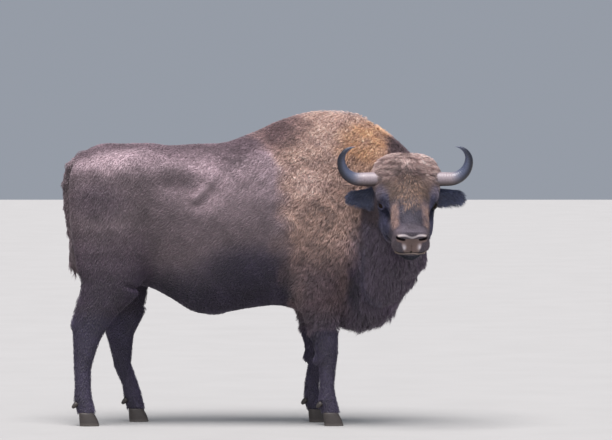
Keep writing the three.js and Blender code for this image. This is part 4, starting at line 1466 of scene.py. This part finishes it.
def hoof_material():
    finish = Finish("hoof", Roughness=0.5)
    place = finish.place()
    flat = finish.node("Mapping", {"Vector": place, "Scale": (1.0, 1.0, 7.0)})["Vector"]
    bands = finish.noise(flat, 40, 4.0)
    grit = finish.noise(place, 400)
    finish.tint(finish.span(bands, 0.75, 1.25), finish.span(grit, 0.9, 1.1))
    finish.set(Roughness=finish.span(grit, 0.45, 0.7))
    finish.relief(bands, 0.0015, 0.6)
    return finish.material


def eye_material():
    finish = Finish("eyeball", Roughness=0.1, Coat_Weight=0.02, Coat_Roughness=0.05)
    finish.set(Specular_IOR_Level=0.09)
    flecks = finish.noise(finish.place(), 900)
    finish.tint(finish.span(flecks, 0.8, 1.2))
    finish.set(Roughness=finish.span(flecks, 0.1, 0.15))
    return finish.material


# ---- the skin piece

FLESH = ["barrel", "ear_left", "ear_right", "forequarters", "head", "hindquarters", "lower_jaw"]
FLESH += ["neck", "tail", "tail_tuft"]
LEGS = [f"{end}leg_{side}" for end in ("fore", "hind") for side in ("left", "right")]
FLESH += [f"{leg}_{part}" for leg in LEGS for part in ("upper", "lower", "pastern")]


SKIN_SHADE = 0.25  # how much darker, as a share, the skin is under the mantle


def make_skin():
    """The skin piece. Returns a copy of its mesh in millimetres, for the coat to grow on."""
    mesh = skin_mesh()
    xyz, normals = read_vectors(mesh, "co"), read_vectors(mesh, "normal")
    r = Regions(xyz)
    rgb = hide_colour(xyz, r, normals)
    # Painted shade: the nostrils, the parting of the lips and the folds round the eyes are laid near
    # black.
    crease = in_crease(xyz, r) & (r.skin_only < 0.3)
    rgb[crease] = lerp(rgb[crease], HIDE["nostril"], 0.8)
    bald = np.maximum(r.pad, r.skin_only)
    rgb *= (1 - SKIN_SHADE * (1 - bald) * r.pick(0.6, mantle=1, head=0.9))[:, None]
    set_colour(mesh, rgb)
    store(mesh, "Lie", "FLOAT_VECTOR", lie_of_coat(r, normals))
    store(mesh, "Gloss", "FLOAT", bald)
    bare = mesh.copy()
    fill(mesh.vertices, "co", to_row(xyz))
    mesh.update()
    smooth(mesh)
    piece_from(mesh, skin_material(), FLESH)
    return bare


# ---- lofts


def turns(sides):
    """Angles of the points of a ring."""
    return np.arange(sides) / sides * 2 * math.pi


def ring(middle, across, high, sides):
    """Points round an ellipse, from the end of `across` towards the end of `high`."""
    angles = turns(sides)[:, None]
    return middle + across * np.cos(angles) + high * np.sin(angles)


def loft_mesh(name, rings):
    """A closed loft through rings of points, its ends closed to their middles."""
    rings = np.array(rings)
    count, sides = rings.shape[:2]
    points = np.concatenate([rings.reshape(-1, 3), rings[:1].mean(1), rings[-1:].mean(1)])
    around = [(i, (i + 1) % sides) for i in range(sides)]
    top = (count - 1) * sides
    faces = []
    for low in range(0, top, sides):
        faces += [(low + i, low + j, low + j + sides, low + i + sides) for i, j in around]
    for i, j in around:
        faces += [(count * sides, j, i), (top + i, top + j, count * sides + 1)]
    mesh = bpy.data.meshes.new(name)
    mesh.from_pydata([tuple(p) for p in to_row(points)], [], faces)
    smooth(mesh)
    return mesh


def colour_rings(mesh, colours, sides):
    """Colours a loft: one colour for each ring, or one for each of its points."""
    rgb = np.array(colours, float).reshape(len(colours), -1, 3)
    rgb = np.broadcast_to(rgb, (len(colours), sides, 3))
    set_colour(mesh, np.concatenate([rgb.reshape(-1, 3), rgb[:1].mean(1), rgb[-1:].mean(1)]))


def horn_line(t, s):
    """The horn's centre line at t, from 0 at its buried foot to 1 at its tip."""
    bends = [(HORN_STRAIGHT[s], 0)] + HORN_HOOK
    left = t * sum(run for run, _ in bends)
    heading = out = rise = 0.0
    for run, turn in bends:
        step = min(left, run)
        half = turn * step / run / 2
        chord = step * math.sin(half) / half if half > 0 else step
        out += chord * math.cos(heading + half)
        rise += chord * math.sin(heading + half)
        heading += 2 * half
        left -= step
    lean = HEAD_PITCH - HORN_LEAN
    a, b, c = HORN_FOOT
    return from_head((a - math.sin(lean) * rise, (b + out) * s, c + math.cos(lean) * rise))


HORN_BASE = srgb(142, 130, 135)
HORN_UNDER_SHADE = srgb(66, 54, 53)
HORN_SLATE = srgb(74, 80, 101)
HORN_OUTER_SHADE = srgb(32, 34, 46)
HORN_TIP = srgb(120, 130, 158)
HORN_SIDES = 28
HORN_RINGS = 64
HORN_END = 0.992  # the last ring, as a share of the horn's length
HORN_INSET = 0.8  # how far the loft lies inside the solid, between its ridges
RIDGE_HEIGHT = 0.6


def make_horns():
    """Horn sheaths: pale at the foot, slate further out, darker on the outer curve and underneath, which
    is painted shade.
    """
    material = horn_material()
    places = [i / HORN_RINGS * HORN_END for i in range(HORN_RINGS + 1)]
    for side, s in SIDES.items():
        # Painted shade: the underside at the foot and the outer side of the curve are laid darker.
        outer = ramp(np.cos(turns(HORN_SIDES)) * s, -0.6, 0.5)[:, None]
        base = lerp(HORN_BASE, HORN_UNDER_SHADE, outer)
        slate = lerp(HORN_SLATE, HORN_OUTER_SHADE, outer)
        rings, colours = [], []
        for t in places:
            ahead = unit(horn_line(min(t + 0.01, 1), s) - horn_line(max(t - 0.01, 0), s))
            across = unit(np.cross(ahead, FACE))
            ridge = RIDGE_HEIGHT * math.sin(t * 150) * max(0, 1 - abs(t - 0.32) / 0.22)
            radius = HORN_RADIUS * (1 - t**HORN_TAPER) - HORN_INSET + ridge
            third = np.cross(ahead, across)
            rings.append(ring(horn_line(t, s), radius * across, radius * third, HORN_SIDES))
            shade = lerp(base, slate, ramp(t, 0.27, 0.5))
            colours.append(lerp(shade, HORN_TIP, ramp(t, 0.8, 0.97) * (1 - 0.5 * outer)))
        mesh = loft_mesh(f"horn_sheath_{side}", rings)
        colour_rings(mesh, colours, HORN_SIDES)
        store(mesh, "Along", "FLOAT", np.append(np.repeat(places, HORN_SIDES), [0.0, 1.0]))
        piece_from(mesh, material, [f"horn_{side}"])


HOOF_DARK = srgb(58, 52, 50)
HOOF_WORN = srgb(84, 78, 74)
HOOF_SIDES = 28
HOOF_STEP = 6  # about the height between two rings
HOOF_AHEAD = 28  # from the fetlock to the hoof's middle
HOOF_HEEL = 0.72  # the heel's length as a share of the toe's
HOOF_NARROWING = 0.22
HOOF_LEVELS = [  # height, half length, half width, how far back
    (0, 61, 25.2, 0),
    (3, 61.5, 25.7, 0.3),
    (34, 57, 24.8, 6),
    (58, 50.5, 23.4, 12.5),
    (71, 46, 21.5, 16),
    (74, 38, 17, 16),
]
TOES = {"inner": -1, "outer": 1}
TOE_OUT = 27

DEWCLAW_DARK = srgb(56, 50, 48)
DEWCLAW_SIDES = 16
DEWCLAW_OUT = 24
DEWCLAW_BACK = 40
DEWCLAW_HEIGHT = 118
DEWCLAW_WAY = unit(np.array([-0.72, 0, -0.7]))
DEWCLAW_RINGS = [(-13, 13), (-2, 13.6), (9, 12.6), (18, 10), (24, 7), (26, 3.5)]  # along, radius
ACROSS = np.array([0.0, 1.0, 0.0])


def hoof_levels():
    """The hoof's levels with more between them."""
    fine = []
    for low, high in zip(HOOF_LEVELS, HOOF_LEVELS[1:]):
        parts = max(1, round((high[0] - low[0]) / HOOF_STEP))
        fine += [lerp(np.array(low), np.array(high), k / parts) for k in range(parts)]
    return fine + HOOF_LEVELS[-1:]


def make_hoof(leg, toe, fetlock, track, s, material):
    """One claw's hoof: worn and paler at the floor, its toe narrower than its heel."""
    t = TOES[toe]
    ahead = np.cos(turns(HOOF_SIDES))
    narrowed = np.sin(turns(HOOF_SIDES)) * (1 - HOOF_NARROWING * np.maximum(ahead, 0))
    reach = np.where(ahead > 0, ahead, ahead * HOOF_HEEL)
    rings, colours = [], []
    for z, long, wide, back in hoof_levels():
        x = fetlock + HOOF_AHEAD - back + reach * long
        y = (track + t * TOE_OUT) * s + narrowed * wide - t * s * back * 0.1
        rings.append(np.stack([x, y, np.full(HOOF_SIDES, z)], axis=1))
        colours.append(lerp(HOOF_DARK, HOOF_WORN, ramp(-z, -22, 0)))
    mesh = loft_mesh(f"{leg}_hoof_{toe}", rings)
    colour_rings(mesh, colours, HOOF_SIDES)
    piece_from(mesh, material, [f"{leg}_claw_{toe}"])


def make_dewclaw(leg, toe, fetlock, track, s, material):
    """The small horn spur behind the fetlock."""
    at = np.array((fetlock - DEWCLAW_BACK, (track + TOES[toe] * DEWCLAW_OUT) * s, DEWCLAW_HEIGHT))
    up = np.cross(ACROSS, DEWCLAW_WAY)
    rings = []
    for along, radius in DEWCLAW_RINGS:
        rings.append(ring(at + DEWCLAW_WAY * along, up * radius, ACROSS * radius, DEWCLAW_SIDES))
    mesh = loft_mesh(f"{leg}_spur_{toe}", rings)
    colour_rings(mesh, [DEWCLAW_DARK] * len(rings), DEWCLAW_SIDES)
    piece_from(mesh, material, [f"{leg}_dewclaw_{toe}"])


def make_feet():
    material = hoof_material()
    for side, s in SIDES.items():
        for end, legs, track in (("fore", FORELEGS, FORE_TRACK), ("hind", HINDLEGS, HIND_TRACK)):
            for toe in TOES:
                foot = (f"{end}leg_{side}", toe, legs[side]["fetlock"], track, s, material)
                make_hoof(*foot)
                make_dewclaw(*foot)


EYE_ROWS = 40
EYE_SIDES = 48
EYE_INSET = 0.6
CORNEA_HEIGHT = 1.0
PUPIL = (7.5, 4.2)  # half its length and half its height
EYE_BLACK = srgb(5, 5, 7)
EYE_BROWN = srgb(32, 21, 17)
EYE_RING = srgb(22, 15, 13)
EYE_WHITE = srgb(44, 34, 32)


def make_eyes():
    """Eyeballs with a dark iris, a level pupil and a slightly raised cornea."""
    material = eye_material()
    for side, s in SIDES.items():
        middle = from_head(mirrored(EYE_AT, s))
        axes = [np.array(mirrored(axis, s)) @ HEAD_AXES for axis in (EYE_OUT, EYE_DOWN, EYE_AHEAD)]
        out, down, ahead = axes
        rings = []
        for i in range(1, EYE_ROWS):
            tilt = math.pi * i / EYE_ROWS
            radius = EYE_RADIUS - EYE_INSET + CORNEA_HEIGHT * max(0.0, math.cos(tilt)) ** 6
            wide = radius * math.sin(tilt)
            centre = middle + radius * math.cos(tilt) * out
            rings.append(ring(centre, wide * ahead, wide * s * down, EYE_SIDES)[::-1])
        mesh = loft_mesh(f"eyeball_{side}", rings)
        local = (read_vectors(mesh, "co") - ROW_SHIFT) * 1000 - middle
        u, v = local @ ahead, local @ down
        iris = np.hypot(u, v)[:, None]
        pupil = np.hypot(u / PUPIL[0], v / PUPIL[1])[:, None]
        rgb = lerp(EYE_RING, EYE_WHITE, ramp(iris, 15.5, 17.5))
        rgb = lerp(EYE_BROWN, rgb, ramp(iris, 12.5, 16))
        rgb = lerp(EYE_BLACK, rgb, ramp(pupil, 0.9, 1.08))
        rgb[local @ out <= 0] = EYE_WHITE
        set_colour(mesh, rgb)
        piece_from(mesh, material, [f"eye_{side}"])


# ---- stage, light and camera

FRAME_WIDTH = 612  # pixels
MM_PER_PIXEL = 5.54  # at the animal
CAMERA_DISTANCE = 30.0  # metres
CAMERA_RISE = math.radians(2)
CAMERA_REACH = 200  # metres
AIM = (216, 0, 1130)
SENSOR_WIDTH = 36.0

FLOOR_SIZE = 80  # metres
FLOOR_DARK = (0.33, 0.325, 0.32, 1)
FLOOR_LIGHT = (0.37, 0.365, 0.36, 1)
SUNS = {  # the way it shines, strength, spread in degrees, colour
    "overhead": ((0.1, 0.34, -1.0), 5.8, 45, (1.0, 0.965, 0.96)),
    "front": ((-0.2, 1.0, -0.3), 0.5, 60, (0.92, 0.95, 1.0)),
}
SKY = {"Color": (0.76, 0.83, 0.96, 1), "Strength": 0.4}


def turned_to(way):
    """The rotation of a light or camera that looks along a direction."""
    return Vector(way).to_track_quat("-Z", "Y").to_euler()


def make_stage():
    bpy.ops.mesh.primitive_plane_add(size=FLOOR_SIZE)
    floor = bpy.context.object
    floor.name = "floor"
    finish = Finish("pale floor", Roughness=0.85)
    tones = {"Factor": finish.noise(finish.place(), 2.0), "A": FLOOR_DARK, "B": FLOOR_LIGHT}
    finish.set(Base_Color=finish.node("Mix", tones, data_type="RGBA")["Result"])
    floor.data.materials.append(finish.material)


def make_light():
    for name, (way, strength, spread, colour) in SUNS.items():
        data = bpy.data.lights.new(name, "SUN")
        data.energy = strength
        data.angle = math.radians(spread)
        data.color = colour
        into_scene(name, data).rotation_euler = turned_to(way)
    world = bpy.data.worlds.new("studio")
    bpy.context.scene.world = world
    world.use_nodes = True
    for socket, value in SKY.items():
        world.node_tree.nodes["Background"].inputs[socket].default_value = value
    bpy.context.scene.view_settings.view_transform = "Standard"


def make_camera():
    data = bpy.data.cameras.new("camera")
    data.sensor_width = SENSOR_WIDTH
    data.lens = CAMERA_DISTANCE * 1000 / MM_PER_PIXEL * SENSOR_WIDTH / FRAME_WIDTH
    data.clip_end = CAMERA_REACH
    camera = into_scene("camera", data)
    back = Vector((0, -math.cos(CAMERA_RISE), math.sin(CAMERA_RISE)))
    camera.location = Vector(to_row(AIM)) + back * CAMERA_DISTANCE
    camera.rotation_euler = turned_to(-back)
    bpy.context.scene.camera = camera


# ---- the whole figure

make_camera()
make_stage()
make_light()
bare_skin = make_skin()
grow_coat(bare_skin, coat_material())
make_horns()
make_eyes()
make_feet()
bpy.data.meshes.remove(bare_skin)
